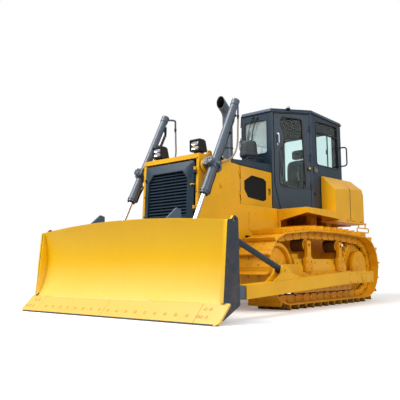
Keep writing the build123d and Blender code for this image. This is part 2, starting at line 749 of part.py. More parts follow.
# ---- top of the hood ----------------------------------------------------------------------
STACK_BEND_Z = 2895
STACK_WALL = 6
MOUTH_Y = -336
MOUTH_Z = 3027
elbow_run = Vector(0, MOUTH_Y - STACK_Y, MOUTH_Z - STACK_BEND_Z)
elbow_end = Vector(0, STACK_Y, STACK_BEND_Z) + elbow_run * 1.8
with BuildPart() as exhaust_stack:
    for radius, low, mode in (
        (STACK_R, ENGINE_TOP_Z, Mode.ADD),
        (STACK_R - STACK_WALL, STACK_BEND_Z - 300, Mode.SUBTRACT),
    ):
        with BuildLine() as route:
            Polyline((0, STACK_Y, low), (0, STACK_Y, STACK_BEND_Z), elbow_end)
        with BuildSketch(Plane.XY.offset(low)) as disc:
            with Locations((0, STACK_Y)):
                Circle(radius)
        sweep(disc.sketch, path=route.wire(), transition=Transition.RIGHT, mode=mode)
    slab((-200, 200), (MOUTH_Y - 400, MOUTH_Y), (STACK_BEND_Z - 100, MOUTH_Z + 400), mode=Mode.SUBTRACT)
save(exhaust_stack, "exhaust_stack")

BOWL_R = 137
with BuildPart() as pre_cleaner:
    with BuildSketch(Plane.XZ.offset(-CLEANER_Y)):
        # columns: radius, height
        Polygon(
            (0, 2000), (STEM_R, 2000), (STEM_R, 2262), (BOWL_R - 12, 2290), (BOWL_R + 6, 2318),
            (BOWL_R + 6, 2352), (BOWL_R - 2, 2360), (BOWL_R - 14, 2520), (BOWL_R - 34, 2542), (0, 2542),
            align=None,
        )
    revolve(axis=Axis((0, CLEANER_Y, 0), (0, 0, 1)))
save(pre_cleaner, "pre_cleaner")

LAMP_X = (263, 433)
LAMP_Y = (-1325, -1175)
LAMP_Z = (2075, 2235)
with BuildPart() as headlights:
    side_prism(
        [
            (LAMP_Y[0] - 14, LAMP_Z[0]), (LAMP_Y[1], LAMP_Z[0]), (LAMP_Y[1] - 38, LAMP_Z[1] - 18),
            (LAMP_Y[1] - 75, LAMP_Z[1]), (LAMP_Y[0] - 14, LAMP_Z[1]),
        ],
        LAMP_X,
    )
    slab(
        (LAMP_X[0] + 10, LAMP_X[1] - 10), (LAMP_Y[0] - 20, LAMP_Y[0] + 6), (LAMP_Z[0] + 12, LAMP_Z[1] - 26),
        mode=Mode.SUBTRACT,
    )
    slab((LAMP_X[0] + 40, LAMP_X[1] - 40), (LAMP_Y[0] + 30, LAMP_Y[1] - 30), (GUARD_TOP_Z, LAMP_Z[0]))
    slab((LAMP_X[0] - 8, LAMP_X[1] + 8), (LAMP_Y[0] + 10, LAMP_Y[1] - 10), (GUARD_TOP_Z, GUARD_TOP_Z + 10))
    both_sides()
save(headlights, "headlights")

# ---- cab ----------------------------------------------------------------------------------
CAB_PLAN = [
    (-CAB_FRONT[0], CAB_FRONT[1]), CAB_FRONT, CAB_CORNER, CAB_REAR,
    (-CAB_REAR[0], CAB_REAR[1]), (-CAB_CORNER[0], CAB_CORNER[1]),
]
DOOR_LENGTH = hypot(CAB_CORNER[0] - CAB_FRONT[0], CAB_CORNER[1] - CAB_FRONT[1])


def wall_plane(start, end, sign):
    """Upright plane on a cab wall: x from start to end, y up, normal outward."""
    length = hypot(end[0] - start[0], end[1] - start[1])
    along = ((end[0] - start[0]) / length, (end[1] - start[1]) / length)
    return Plane(
        origin=(sign * start[0], start[1], 0),
        x_dir=(sign * along[0], along[1], 0),
        z_dir=(sign * along[1], -along[0], 0),
    )


CAB_DOOR_HINGES = (1830, 2300, 2770)
CAB_HINGE_U = 655
CAB_FLOOR = 45
DOOR_HEM = 6
GLASS = 6
GLASS_BACK = 20
# columns: distance along the wall, height
DOOR_OUTLINE = [(40, 1850), (130, 1450), (CAB_HINGE_U, 1450), (CAB_HINGE_U, 3010), (40, 3010)]
# columns: distance along the wall (or x), height, corner radius
DOOR_WINDOW = [
    (129, 1825, 75), (567, 1786, 60), (521, 2925, 40), (165, 2950, 45),
    (163, 2831, 40), (227, 2654, 60), (200, 2473, 60), (135, 2396, 30),
]
SIDE_WINDOW = [(150, 2210, 60), (985, 2235, 60), (950, 2985, 45), (140, 2935, 45)]
FRONT_WINDOW = [(-240, 2365, 50), (200, 2365, 50), (200, 2920, 50), (-240, 2920, 50)]
REAR_WINDOW = [(-500, 2150, 60), (500, 2150, 60), (500, 2920, 60), (-500, 2920, 60)]
FRONT_WALL = Plane(origin=(0, CAB_FRONT[1], 0), x_dir=(1, 0, 0), z_dir=(0, -1, 0))
REAR_WALL = Plane(origin=(0, CAB_REAR[1] - CAB_WALL, 0), x_dir=(1, 0, 0), z_dir=(0, -1, 0))
walls = [(FRONT_WALL, FRONT_WINDOW), (REAR_WALL, REAR_WINDOW)]
for sign in (1, -1):
    walls.append((wall_plane(CAB_CORNER, CAB_REAR, sign), handed(SIDE_WINDOW, sign)))

with BuildPart() as cab_shell:
    plan_prism(CAB_PLAN, (FLOOR_Z, CAB_TOP_Z))
    with BuildSketch(Plane.XY.offset(FLOOR_Z + CAB_FLOOR)):
        Polygon(*CAB_PLAN, align=None)
        offset(amount=-CAB_WALL, kind=Kind.INTERSECTION, mode=Mode.REPLACE)
    extrude(amount=CAB_TOP_Z, mode=Mode.SUBTRACT)
    for sign in (1, -1):
        plane = wall_plane(CAB_FRONT, CAB_CORNER, sign)
        with BuildSketch(plane.offset(10)):
            Polygon(*handed(DOOR_OUTLINE, sign), align=None)
        extrude(amount=-120, mode=Mode.SUBTRACT)
        for z in CAB_DOOR_HINGES:
            heights = [sign * (z + SEAT / 2), sign * (z + HINGE_HALF)]
            knuckle(plane, CAB_HINGE_U, sorted(heights), HINGE_OUT)
            leaf(plane, (CAB_HINGE_U, CAB_HINGE_U + 30), heights, LEAF)
    for plane, window in walls:
        with BuildSketch(plane.offset(10)):
            add(rounded(window))
        extrude(amount=-10 - CAB_WALL, mode=Mode.SUBTRACT)
save(cab_shell, "cab_shell")

with BuildPart() as cab_roof:
    with BuildSketch(Plane.XY.offset(CAB_TOP_Z)):
        Polygon(*CAB_PLAN, align=None)
        offset(amount=20, kind=Kind.INTERSECTION, mode=Mode.REPLACE)
    extrude(amount=ROOF_TOP_Z - CAB_TOP_Z, taper=20)
save(cab_roof, "cab_roof")

with BuildPart() as cab_glass:
    for plane, window in walls:
        with BuildSketch(plane.offset(-GLASS_BACK)):
            add(rounded(window))
            offset(amount=-SEAT, mode=Mode.REPLACE)
        extrude(amount=-GLASS)
save(cab_glass, "cab_glass")

for sign, name in ((1, "left"), (-1, "right")):
    hem = DOOR_HEM
    door_leaf = [
        (40 + hem, 1850 + hem / 3), (130 + hem, 1450 + hem), (CAB_HINGE_U - hem, 1450 + hem),
        (CAB_HINGE_U - hem, 3010 - hem), (40 + hem, 3010 - hem),
    ]
    plane = wall_plane(CAB_FRONT, CAB_CORNER, sign)
    with BuildPart() as cab_door:
        with BuildSketch(plane):
            Polygon(*handed(door_leaf, sign), align=None)
            add(rounded(handed(DOOR_WINDOW, sign)), mode=Mode.SUBTRACT)
        extrude(amount=-CAB_WALL)
        for z in CAB_DOOR_HINGES:
            heights = [sign * (z - HINGE_HALF), sign * (z - SEAT / 2)]
            knuckle(plane, CAB_HINGE_U, sorted(heights), HINGE_OUT)
            leaf(plane, (CAB_HINGE_U - 45, CAB_HINGE_U), heights, LEAF)
    save(cab_door, f"cab_door_{name}")
    with BuildPart() as door_glass:
        with BuildSketch(plane.offset(-GLASS_BACK)):
            add(rounded(handed(DOOR_WINDOW, sign)))
            offset(amount=-SEAT, mode=Mode.REPLACE)
        extrude(amount=-GLASS)
    save(door_glass, f"cab_door_glass_{name}")

HANDLE_Y = 2200
HANDLE_Z = (2300, 2630)
HANDLE_OUT = 128
HANDLE_R = 12
wall_share = (HANDLE_Y - CAB_CORNER[1]) / (CAB_REAR[1] - CAB_CORNER[1])
wall_x = CAB_CORNER[0] + (CAB_REAR[0] - CAB_CORNER[0]) * wall_share
with BuildPart() as grab_handles:
    root_x = wall_x + 3 * SEAT
    tube(
        [
            (root_x, HANDLE_Y, HANDLE_Z[1]), (wall_x + HANDLE_OUT, HANDLE_Y, HANDLE_Z[1]),
            (wall_x + HANDLE_OUT, HANDLE_Y, HANDLE_Z[0]), (root_x, HANDLE_Y, HANDLE_Z[0]),
        ],
        HANDLE_R, 50,
    )
    both_sides()
save(grab_handles, "grab_handles")

with BuildPart() as operator_seat:
    slab((-150, 150), (1500, 1850), (FLOOR_Z + 45, 1800))
    slab((-260, 260), (1400, 1920), (1800, 1920))
    slab((-250, 250), (1860, 1980), (1920, 2500))
save(operator_seat, "operator_seat")

with BuildPart() as control_console:
    slab((-200, 200), (720, 860), (FLOOR_Z + 45, 2200))
save(control_console, "control_console")

# ---- platform and rear boxes --------------------------------------------------------------
PLATE = 20
DECK_HALF = 1010
CAB_DECK_HALF = 700
DECK_REAR_Y = 2240
DECK_LOW_Z = FLOOR_Z - 25
SKIRT_LOW_Z = (1250, 1346, 1303)
LEG_X = (540, 500)
SHELF_THICK = 25
with BuildPart() as fenders:
    slab((0, DECK_HALF), (FENDER_FRONT_Y, BOX_FRONT_Y), (DECK_LOW_Z, FLOOR_Z))
    slab((0, CAB_DECK_HALF), (BOX_FRONT_Y, DECK_REAR_Y), (DECK_LOW_Z, FLOOR_Z))
    with BuildSketch(Plane.XZ.offset(-FENDER_FRONT_Y)) as skirt:
        Polygon(
            (LEG_X[1] + SEAT, PANEL_LOW_Z), (LEG_X[0], PANEL_LOW_Z), (LEG_X[0], SKIRT_LOW_Z[0]),
            (DECK_HALF, SKIRT_LOW_Z[1]), (DECK_HALF, DECK_LOW_Z), (LEG_X[1] + SEAT, DECK_LOW_Z),
            align=None,
        )
    extrude(skirt.sketch, amount=-PLATE)
    side_prism(
        [
            (FENDER_FRONT_Y, SKIRT_LOW_Z[1]), (BOX_FRONT_Y, SKIRT_LOW_Z[2]), (BOX_FRONT_Y, DECK_LOW_Z),
            (FENDER_FRONT_Y, DECK_LOW_Z),
        ],
        (DECK_HALF - PLATE, DECK_HALF),
    )
    slab((CAB_DECK_HALF, DECK_HALF), (BOX_FRONT_Y - PLATE, BOX_FRONT_Y), (BOX_LOW_Z, DECK_LOW_Z))
    slab(
        (CAB_DECK_HALF, BOX_OUTER_X + 50), (BOX_FRONT_Y - 2 * PLATE, BOX_REAR_Y - PLATE),
        (BOX_LOW_Z - SHELF_THICK, BOX_LOW_Z),
    )
    for leg_y in ((1500, 1700), (2050, DECK_REAR_Y)):
        slab((360, 440), leg_y, (CASE_TOP_Z, DECK_LOW_Z))
    both_sides()
save(fenders, "fenders")

BOX_SPLIT = (1938, 1942)
BOX_SHOULDER_X = 730
BOX_SHOULDER_Z = 1798
BOX_RISE = 73 / 933
shoulder = Vector(BOX_OUTER_X, BOX_FRONT_Y, BOX_SHOULDER_Z)
ridge = Vector(0, 1, BOX_RISE)
across = Vector(BOX_SHOULDER_X, BOX_FRONT_Y, BOX_TOP_Z) - shoulder
with BuildPart() as side_boxes:
    side_prism(
        [
            (BOX_FRONT_Y, BOX_LOW_Z), (BOX_REAR_Y, BOX_LOW_Z), (BOX_REAR_Y, 1790), (2300, BOX_TOP_Z),
            (BOX_FRONT_Y, BOX_TOP_Z),
        ],
        (CAB_DECK_HALF + SEAT, BOX_OUTER_X),
    )
    with BuildSketch(Plane(origin=shoulder, x_dir=ridge, z_dir=ridge.cross(across))) as chamfer_cut:
        Rectangle(4000, 4000)
    extrude(chamfer_cut.sketch, amount=600, mode=Mode.SUBTRACT)
    slab((CAB_DECK_HALF, BOX_OUTER_X), BOX_SPLIT, (BOX_LOW_Z, BOX_TOP_Z), mode=Mode.SUBTRACT)
    both_sides()
save(side_boxes, "side_boxes")

TANK_REAR_Y = BOX_REAR_Y - 5
with BuildPart() as fuel_tank:
    side_prism(
        [
            (CAB_REAR[1] + 15, CASE_TOP_Z), (TANK_REAR_Y, CASE_TOP_Z), (TANK_REAR_Y, BOX_TOP_Z - 140),
            (TANK_REAR_Y - 100, BOX_TOP_Z), (CAB_REAR[1] + 15, BOX_TOP_Z),
        ],
        (-CAB_DECK_HALF, CAB_DECK_HALF),
    )
save(fuel_tank, "fuel_tank")

CLEVIS_Y = CASE_REAR_Y + 170
PIN_Y = CASE_REAR_Y + 115
PIN_R = 22
EAR_Z = (540, 650)
EAR_THICK = 35
with BuildPart() as drawbar:
    slab((-150, 150), (CASE_REAR_Y, CASE_REAR_Y + 60), (480, 760))
    for low in EAR_Z:
        slab((-75, 75), (CASE_REAR_Y + 60, CLEVIS_Y), (low, low + EAR_THICK))
    with Locations((0, PIN_Y, (EAR_Z[0] + EAR_Z[1] + EAR_THICK) / 2)):
        Cylinder(PIN_R, 300, mode=Mode.SUBTRACT)
save(drawbar, "drawbar")

STEP_X = BOX_OUTER_X + 39
STEP_Y = (2080, 2530)
STEP_Z = (1130, 1200)
STEP_R = 10
step_middle = (STEP_Y[0] + STEP_Y[1]) / 2
with BuildPart() as rear_step:
    for end in STEP_Y:
        tube(
            [
                (STEP_X, step_middle, STEP_Z[1]), (STEP_X, end, STEP_Z[1]), (STEP_X, end, STEP_Z[0]),
                (STEP_X, step_middle, STEP_Z[0]),
            ],
            STEP_R, 30,
        )
    for y in (STEP_Y[0] + 60, BOX_REAR_Y - 60):
        with Locations((STEP_X, y, (STEP_Z[1] + BOX_LOW_Z - SHELF_THICK) / 2)):
            Cylinder(STEP_R, BOX_LOW_Z - SHELF_THICK - STEP_Z[1])
    both_sides()
save(rear_step, "rear_step")

# ---- blade --------------------------------------------------------------------------------


def moldboard_face(depth):
    """The curved face's line, a depth behind the front: top, middle and bottom points."""
    middle_y = (MOLD_TOP[0] + MOLD_BOTTOM[0]) / 2 + MOLD_SAG
    middle_z = (MOLD_TOP[1] + MOLD_BOTTOM[1]) / 2
    top = (MOLD_TOP[0] + depth, MOLD_TOP[1])
    bottom = (MOLD_BOTTOM[0] + depth, MOLD_BOTTOM[1])
    return top, (middle_y + depth, middle_z), bottom


with BuildPart() as moldboard:
    front = moldboard_face(0)
    back = moldboard_face(MOLD_PLATE)
    lift_top = (front[0][0], front[0][1] + CROWN)
    with BuildSketch(Plane.YZ.offset(-BLADE_HALF)):
        with BuildLine():
            ThreePointArc(*front)
            Line(front[2], back[2])
            ThreePointArc(*back[::-1])
            Polyline(back[0], (back[0][0], back[0][1] + CROWN), lift_top, front[0])
        make_face()
    extrude(amount=2 * BLADE_HALF)
    with BuildSketch(Plane.XZ.offset(-MOLD_TOP[0] + 300)):
        with BuildLine():
            ThreePointArc(
                (-BLADE_HALF, MOLD_TOP[1]), (0, MOLD_TOP[1] + CROWN), (BLADE_HALF, MOLD_TOP[1])
            )
            Polyline(
                (BLADE_HALF, MOLD_TOP[1]), (BLADE_HALF, 0), (-BLADE_HALF, 0), (-BLADE_HALF, MOLD_TOP[1])
            )
        make_face()
    extrude(amount=-700, mode=Mode.INTERSECT)
save(moldboard, "moldboard")

EAR_GAP = 46
EAR = 24
EAR_MIDDLE = EAR_GAP + EAR / 2
RIB_THICK = 20
POCKET_Z = (420, 880)
INNER_RIB = 220
last_rib = ARM_X - 90
# Each pocket lies between two ribs; the ears stand on solid frame.
POCKETS = [
    (0, INNER_RIB), (INNER_RIB, LIFT_X - EAR_MIDDLE),
    (LIFT_X + EAR_MIDDLE, (LIFT_X + EAR_MIDDLE + last_rib) / 2),
    ((LIFT_X + EAR_MIDDLE + last_rib) / 2, last_rib),
]
GUSSET_X = (671, 695)
with BuildPart() as blade_frame:
    front = moldboard_face(MOLD_PLATE + SEAT)
    with BuildSketch(Plane.YZ.offset(-BLADE_HALF)) as outline:
        with BuildLine():
            ThreePointArc(*front)
            Polyline(front[2], (BACK_Y, 230), (BACK_Y, 960), (front[0][0] + 60, MOLD_TOP[1] - 10), front[0])
        make_face()
    extrude(outline.sketch, amount=2 * BLADE_HALF)
    for low, high in POCKETS:
        start = 0 if low == 0 else low + RIB_THICK / 2
        slab((start, high - RIB_THICK / 2), (-2400, BACK_Y + 50), POCKET_Z, mode=Mode.SUBTRACT)
        slab((RIB_THICK / 2 - high, -start), (-2400, BACK_Y + 50), POCKET_Z, mode=Mode.SUBTRACT)
    for ear in (LIFT_X - EAR_GAP - EAR, LIFT_X + EAR_GAP):
        side_prism(
            [
                (BACK_Y, 400), (ROD_EYE[0] + 40, ROD_EYE[1] - 70), (ROD_EYE[0] + 70, ROD_EYE[1]),
                (ROD_EYE[0] + 40, ROD_EYE[1] + 70), (BACK_Y, 900), (BACK_Y - 30, 900), (BACK_Y - 30, 400),
            ],
            (ear, ear + EAR),
        )
    side_prism(
        [(BACK_Y - 20, 240), (ARM_FRONT_Y, 215), (ARM_FRONT_Y, 350), (BACK_Y - 20, 420)],
        (ARM_X - 60, ARM_X + 60),
    )
    side_prism(
        [
            (-2230, 1000), (-2228, 1115), (-2055, 1252), (-1985, 1232), (-1985, 1130), (BACK_Y + 10, 940),
            (BACK_Y - 40, 900),
        ],
        GUSSET_X,
    )
    both_sides()
save(blade_frame, "blade_frame")

with BuildPart() as end_plates:
    side_prism(
        [
            (-2193, 1103), (-2125, 1067), (-2110, 172), (-2425, 22), (-2352, 188), (-2370, 206),
            (-2391, 206), (-2311, 1046), (-2240, 1055),
        ],
        (BLADE_HALF, BLADE_HALF + END_PLATE),
    )
    both_sides()
save(end_plates, "end_plates")

edge_slope = atan2(MOLD_BOTTOM[1] - EDGE_TIP[1], MOLD_BOTTOM[0] - EDGE_TIP[0])
with BuildPart() as cutting_edges:
    side_prism(
        [
            EDGE_TIP, (EDGE_TIP[0] + EDGE_THICK / sin(edge_slope), EDGE_TIP[1]),
            (MOLD_BOTTOM[0] + EDGE_THICK * sin(edge_slope), MOLD_BOTTOM[1] - EDGE_THICK * cos(edge_slope)),
            MOLD_BOTTOM,
        ],
        (-EDGE_HALF, EDGE_HALF),
    )
save(cutting_edges, "cutting_edges")

BRACE_PIN = (-873, 529)
BRACE_TOP = (BACK_Y, 990)
with BuildPart() as push_arms:
    side_prism(
        [
            (ARM_FRONT_Y, 205), (880, 312), (ARM_PIVOT[0] + 350, 314), (ARM_PIVOT[0] + 350, 480),
            (900, 482), (ARM_FRONT_Y, 360),
        ],
        (ARM_X - ARM_WIDTH / 2, ARM_X + ARM_WIDTH / 2),
    )
    socket = (ARM_X - ARM_WIDTH, ARM_X + ARM_WIDTH / 2 - 10)
    cross_rod(ARM_PIVOT, socket, ARM_PIVOT_R + RUNNING_GAP, mode=Mode.SUBTRACT)
    for ear in (-65, 40 + SEAT):
        side_prism(
            [
                (-1135, 380), (-540, 400), (-560, 445), (-700, 480), (BRACE_PIN[0] + 50, BRACE_PIN[1] + 50),
                (BRACE_PIN[0] - 50, BRACE_PIN[1] + 50), (-960, 480),
            ],
            (ARM_X + ear, ARM_X + ear + 25 - SEAT),
        )
    both_sides()
save(push_arms, "push_arms")

with BuildPart() as blade_braces:
    brace_line = Vector(0, BRACE_PIN[0] - BRACE_TOP[0], BRACE_PIN[1] - BRACE_TOP[1])
    with BuildSketch(Plane(origin=(ARM_X, *BRACE_TOP), x_dir=(1, 0, 0), z_dir=brace_line).offset(-60)):
        Circle(36)
    extrude(amount=brace_line.length + 60)
    slab((ARM_X - 60, ARM_X + 60), (BACK_Y - 200, BACK_Y + SEAT), (800, 1300), mode=Mode.SUBTRACT)
    cross_rod(BRACE_PIN, (ARM_X - 40, ARM_X + 40), 48)
    both_sides()
save(blade_braces, "blade_braces")

# ---- lift cylinders -----------------------------------------------------------------------
down = Vector(0, ROD_EYE[0] - YOKE[0], ROD_EYE[1] - YOKE[1]).normalized()
rear = Vector(0, -down.Z, down.Y)
EYE_DISTANCE = hypot(ROD_EYE[0] - YOKE[0], ROD_EYE[1] - YOKE[1])


def along(x, reach, off=0):
    """A point on a cylinder: a distance down from the trunnion and off to the rear."""
    return Vector(x, *YOKE) + down * reach + rear * off


def round_bar(x, reach, radius, off=0, mode=Mode.ADD):
    """A round length of cylinder between two distances down from the trunnion."""
    start = along(x, reach[0], off)
    with BuildSketch(Plane(origin=start, x_dir=(1, 0, 0), z_dir=down)) as disc:
        Circle(radius)
    extrude(disc.sketch, amount=reach[1] - reach[0], mode=mode)


for sign, name in ((1, "left"), (-1, "right")):
    x = sign * LIFT_X
    with BuildPart() as lift_barrel:
        round_bar(x, (-BARREL_UP, 0), BARREL_R)
        round_bar(x, (0, BARREL_DOWN), SLEEVE_R)
        round_bar(x, (-BARREL_UP, HEAD_CAP - BARREL_UP), BARREL_R + 6)
        round_bar(x, (BARREL_DOWN - GLAND, BARREL_DOWN - GLAND / 2), SLEEVE_R + 6)
        round_bar(x, (-COLLAR_HALF, COLLAR_HALF), COLLAR_R)
        cross_rod(YOKE, (x - STUB_REACH, x + STUB_REACH), STUB_R)
        round_bar(x, (HEAD_CAP - BARREL_UP, BARREL_DOWN - GLAND), BORE_R, mode=Mode.SUBTRACT)
        round_bar(x, (0, BARREL_DOWN), ROD_R + SEAT, mode=Mode.SUBTRACT)
        for ends, off in (((-480, -95), SLEEVE_R + PIPE_R), ((110, 410), SLEEVE_R + PIPE_R + 5)):
            round_bar(x, ends, PIPE_R, off)
            for end in ends:
                port = min(max(end, ends[0] + PIPE_R), ends[1] - PIPE_R)
                seat = Plane(origin=along(x, port, BARREL_R - 5), x_dir=(1, 0, 0), z_dir=rear)
                with BuildSketch(seat) as boss:
                    Circle(PIPE_R + 3)
                extrude(boss.sketch, amount=off - BARREL_R + 5)
        # columns: x inward of the cylinder, y, z of the head's elbow pipe
        elbow = ((0, -862, 2760), (-40, -760, 2775), (-70, -700, 2775), (-70, -700, 2645))
        tube([(x + sign * row[0], row[1], row[2]) for row in elbow], ELBOW_R, 25)
    save(lift_barrel, f"lift_barrel_{name}")
    with BuildPart() as lift_rod:
        round_bar(x, (PISTON_AT, EYE_DISTANCE), ROD_R)
        round_bar(x, (PISTON_AT, PISTON_AT + 60), BORE_R - SEAT)
        cross_rod(ROD_EYE, (x - EYE_HALF, x + EYE_HALF), EYE_R)
    save(lift_rod, f"lift_rod_{name}")

# columns: y and z from the trunnion's centre
BRACKET_ARM = [(-62, 40), (40, 62), (115, -30), (115, -110), (75, -110), (-50, -50)]
with BuildPart() as lift_brackets:
    slab(
        (GUARD_HALF + 12 + SEAT, INNER_BEARING[0]), (YOKE[0] - 70, YOKE[0] + 70), (YOKE[1] - 80, YOKE[1] + 80)
    )
    for bearing in (INNER_BEARING, OUTER_BEARING):
        cross_rod(YOKE, bearing, COLLAR_R)
        side_prism([(YOKE[0] + dy, YOKE[1] + dz) for dy, dz in BRACKET_ARM], bearing)
    slab(
        (INNER_BEARING[0], OUTER_BEARING[1]), (YOKE[0] + 75, YOKE[0] + 115), (YOKE[1] - 110, YOKE[1] - 30)
    )
    stubs = (LIFT_X - STUB_REACH - 5, LIFT_X + STUB_REACH + 5)
    cross_rod(YOKE, stubs, STUB_R + RUNNING_GAP, mode=Mode.SUBTRACT)
    both_sides()
save(lift_brackets, "lift_brackets")
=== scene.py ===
import json
from math import acos, atan2, cos, hypot, pi, radians, sin, tan

import bmesh
import bpy
from mathutils import Matrix, Vector

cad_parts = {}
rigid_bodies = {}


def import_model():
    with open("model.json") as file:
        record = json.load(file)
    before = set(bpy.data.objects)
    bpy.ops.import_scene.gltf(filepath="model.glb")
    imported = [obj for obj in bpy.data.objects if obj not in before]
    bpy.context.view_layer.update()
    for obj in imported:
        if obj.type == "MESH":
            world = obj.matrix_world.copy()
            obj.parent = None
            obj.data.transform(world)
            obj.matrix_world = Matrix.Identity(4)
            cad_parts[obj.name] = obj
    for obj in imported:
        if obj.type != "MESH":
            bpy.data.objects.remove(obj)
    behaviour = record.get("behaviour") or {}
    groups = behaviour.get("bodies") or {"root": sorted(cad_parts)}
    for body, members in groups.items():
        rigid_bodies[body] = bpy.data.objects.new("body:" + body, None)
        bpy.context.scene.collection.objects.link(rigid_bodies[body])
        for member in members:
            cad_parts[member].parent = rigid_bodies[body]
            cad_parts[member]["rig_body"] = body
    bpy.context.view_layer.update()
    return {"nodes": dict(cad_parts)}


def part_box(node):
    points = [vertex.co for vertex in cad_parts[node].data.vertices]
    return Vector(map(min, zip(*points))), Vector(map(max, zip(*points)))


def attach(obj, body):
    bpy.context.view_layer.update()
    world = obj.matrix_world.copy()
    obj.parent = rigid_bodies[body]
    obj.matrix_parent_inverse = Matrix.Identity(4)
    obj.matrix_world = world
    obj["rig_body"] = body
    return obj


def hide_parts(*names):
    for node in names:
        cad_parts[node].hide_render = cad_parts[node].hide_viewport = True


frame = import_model()

SIDES = ((1, "left"), (-1, "right"))
X, Y, Z = Vector((1, 0, 0)), Vector((0, 1, 0)), Vector((0, 0, 1))


# ---- places taken from the frame -----------------------------------------------------------
def edge_of(node, axis, end=1):
    """Where a CAD node's box ends along an axis: at its high end, or at its low one where end is 0."""
    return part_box(node)[end][axis]


def middle_of(node):
    """The middle of a CAD node's box."""
    return Vector([(low + high) / 2 for low, high in zip(*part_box(node))])


# ---- materials -----------------------------------------------------------------------------
def linear(r, g, b):
    """A colour from 0-255 display values."""
    return tuple((c / 255 / 12.92) if c <= 10 else ((c / 255 + 0.055) / 1.055) ** 2.4 for c in (r, g, b))


def scaled(colour, share):
    return tuple(c * share for c in colour)


class Nodes:
    """A material's node tree with short ways to add nodes."""

    def __init__(self, name):
        self.material = bpy.data.materials.new(name)
        self.material.use_nodes = True
        self.tree = self.material.node_tree
        self.shader = self.tree.nodes["Principled BSDF"]
        self.place = self.add("TexCoord").outputs["Object"]

    def fill(self, node, sockets):
        """Sockets of a node, each given a value or the output linked to it."""
        for key, value in sockets.items():
            if isinstance(value, bpy.types.NodeSocket):
                self.tree.links.new(value, node.inputs[key])
            else:
                node.inputs[key].default_value = value

    def add(self, kind, sockets=(), **values):
        node = self.tree.nodes.new("ShaderNode" + kind)
        for key, value in values.items():
            setattr(node, key, value)
        self.fill(node, dict(sockets))
        return node

    def set(self, **values):
        self.fill(self.shader, {key.replace("_", " "): value for key, value in values.items()})

    def noise(self, scale, detail=3.0, rough=0.5):
        sockets = {"Vector": self.place, "Scale": scale, "Detail": detail, "Roughness": rough}
        return self.add("TexNoise", sockets).outputs["Fac"]

    def ramp(self, factor, low, high, start=0.35, end=0.65):
        sockets = {"Value": factor, "From Min": start, "From Max": end, "To Min": low, "To Max": high}
        return self.add("MapRange", sockets).outputs["Result"]

    def blend(self, factor, first, second):
        first, second = ((*value, 1) if isinstance(value, tuple) else value for value in (first, second))
        return self.add("Mix", data_type="RGBA", sockets={"Factor": factor, 6: first, 7: second}).outputs[2]

    def maths(self, operation, *values):
        return self.add("Math", dict(enumerate(values)), operation=operation).outputs[0]

    def height(self):
        return self.add("SeparateXYZ", {0: self.place}).outputs["Z"]

    def bump(self, factor, strength, distance):
        node = self.add("Bump", {"Strength": strength, "Distance": distance, "Height": factor})
        self.set(Normal=node.outputs["Normal"])

    def painted_crevice_shade(self, tone, shadow, reach, low, high):
        """Painted shade: the colour darkens where surfaces meet and in narrow gaps, as ambient occlusion
        finds them.
        """
        node = self.add("AmbientOcclusion", {"Distance": reach}, samples=6)
        return self.blend(self.ramp(node.outputs["AO"], 0, 1, low, high), linear(*shadow), tone)


def paint(name, colour, rough=0.36, shade=0.9, dust=0.12, coat=0.12, gloss=0.3, pale=None, corner_shade=(92, 52, 10)):
    """Sprayed enamel: slight orange peel, cloudy tone, dust that thins out upwards, and painted shade in
    corners and narrow gaps; where pale is given, a painted highlight on the lower part.
    """
    n = Nodes(name)
    base = linear(*colour)
    tone = n.blend(n.ramp(n.noise(2.3, 5.0), 0, 1), scaled(base, shade), base)
    patch = n.ramp(n.noise(9.0, 6.0, 0.62), 0, 1, 0.42, 0.75)
    low = n.ramp(n.height(), dust, 0, 0.1, 1.1)
    tone = n.blend(n.maths("MULTIPLY", patch, low), tone, linear(170, 122, 62))
    # The paler lower part is a painted highlight: the sky's reflection on the blade's upturned face.
    if pale:
        painted_highlight = n.ramp(n.height(), 0.80, 0, 0.18, 0.66)
        cloud = n.ramp(n.noise(1.6, 4.0), 0.8, 1)
        tone = n.blend(n.maths("MULTIPLY", painted_highlight, cloud), tone, linear(*pale))
    n.bump(n.noise(210.0, 2.0), 0.06, 0.0010)
    # Painted shade darkens the colour in corners and narrow gaps.
    n.set(Base_Color=n.painted_crevice_shade(tone, corner_shade, 0.035, 0.22, 0.62), Coat_Weight=coat, Coat_Roughness=0.15,
          Roughness=n.ramp(n.noise(26.0, 4.0), rough - 0.05, rough + 0.1), Specular_IOR_Level=gloss)
    return n.material


def cast(name, colour, rough=0.45, metal=0.0, grain=0.35, wear=None, gloss=0.3, corner_shade=None, reach=0.07):
    """Cast or forged metal with a sand-rough skin; wear shows at the low parts, and where a shade colour is
    given, painted shade darkens corners and narrow gaps.
    """
    n = Nodes(name)
    base = linear(*colour)
    tone = n.blend(n.ramp(n.noise(6.0, 5.0), 0, 1), scaled(base, 0.82), base)
    tone = n.blend(n.ramp(n.noise(17.0, 7.0, 0.68), 0, 0.5, 0.58, 0.80), tone, scaled(base, 0.5))
    if wear:
        low = n.ramp(n.height(), 1, 0, 0.02, 0.09)
        tone = n.blend(n.maths("MULTIPLY", low, n.ramp(n.noise(30.0, 5.0), 0.2, 1)), tone, linear(*wear))
    # Painted shade in corners and narrow gaps, where a shade colour is given.
    if corner_shade:
        tone = n.painted_crevice_shade(tone, corner_shade, reach, 0.22, 0.70)
    n.bump(n.noise(150.0, 6.0, 0.6), grain, 0.0016)
    n.set(Base_Color=tone, Roughness=n.ramp(n.noise(40.0, 5.0), rough - 0.08, rough + 0.14),
          Metallic=metal, Specular_IOR_Level=gloss)
    return n.material


def polished(name, colour, rough):
    """Ground or plated steel with a faintly uneven shine."""
    n = Nodes(name)
    base = linear(*colour)
    n.bump(n.noise(320.0, 2.0), 0.04, 0.0006)
    n.set(Base_Color=n.blend(n.noise(14.0, 4.0), scaled(base, 0.85), base), Metallic=1.0,
          Roughness=n.ramp(n.noise(60.0, 4.0), rough * 0.7, rough * 1.5))
    return n.material


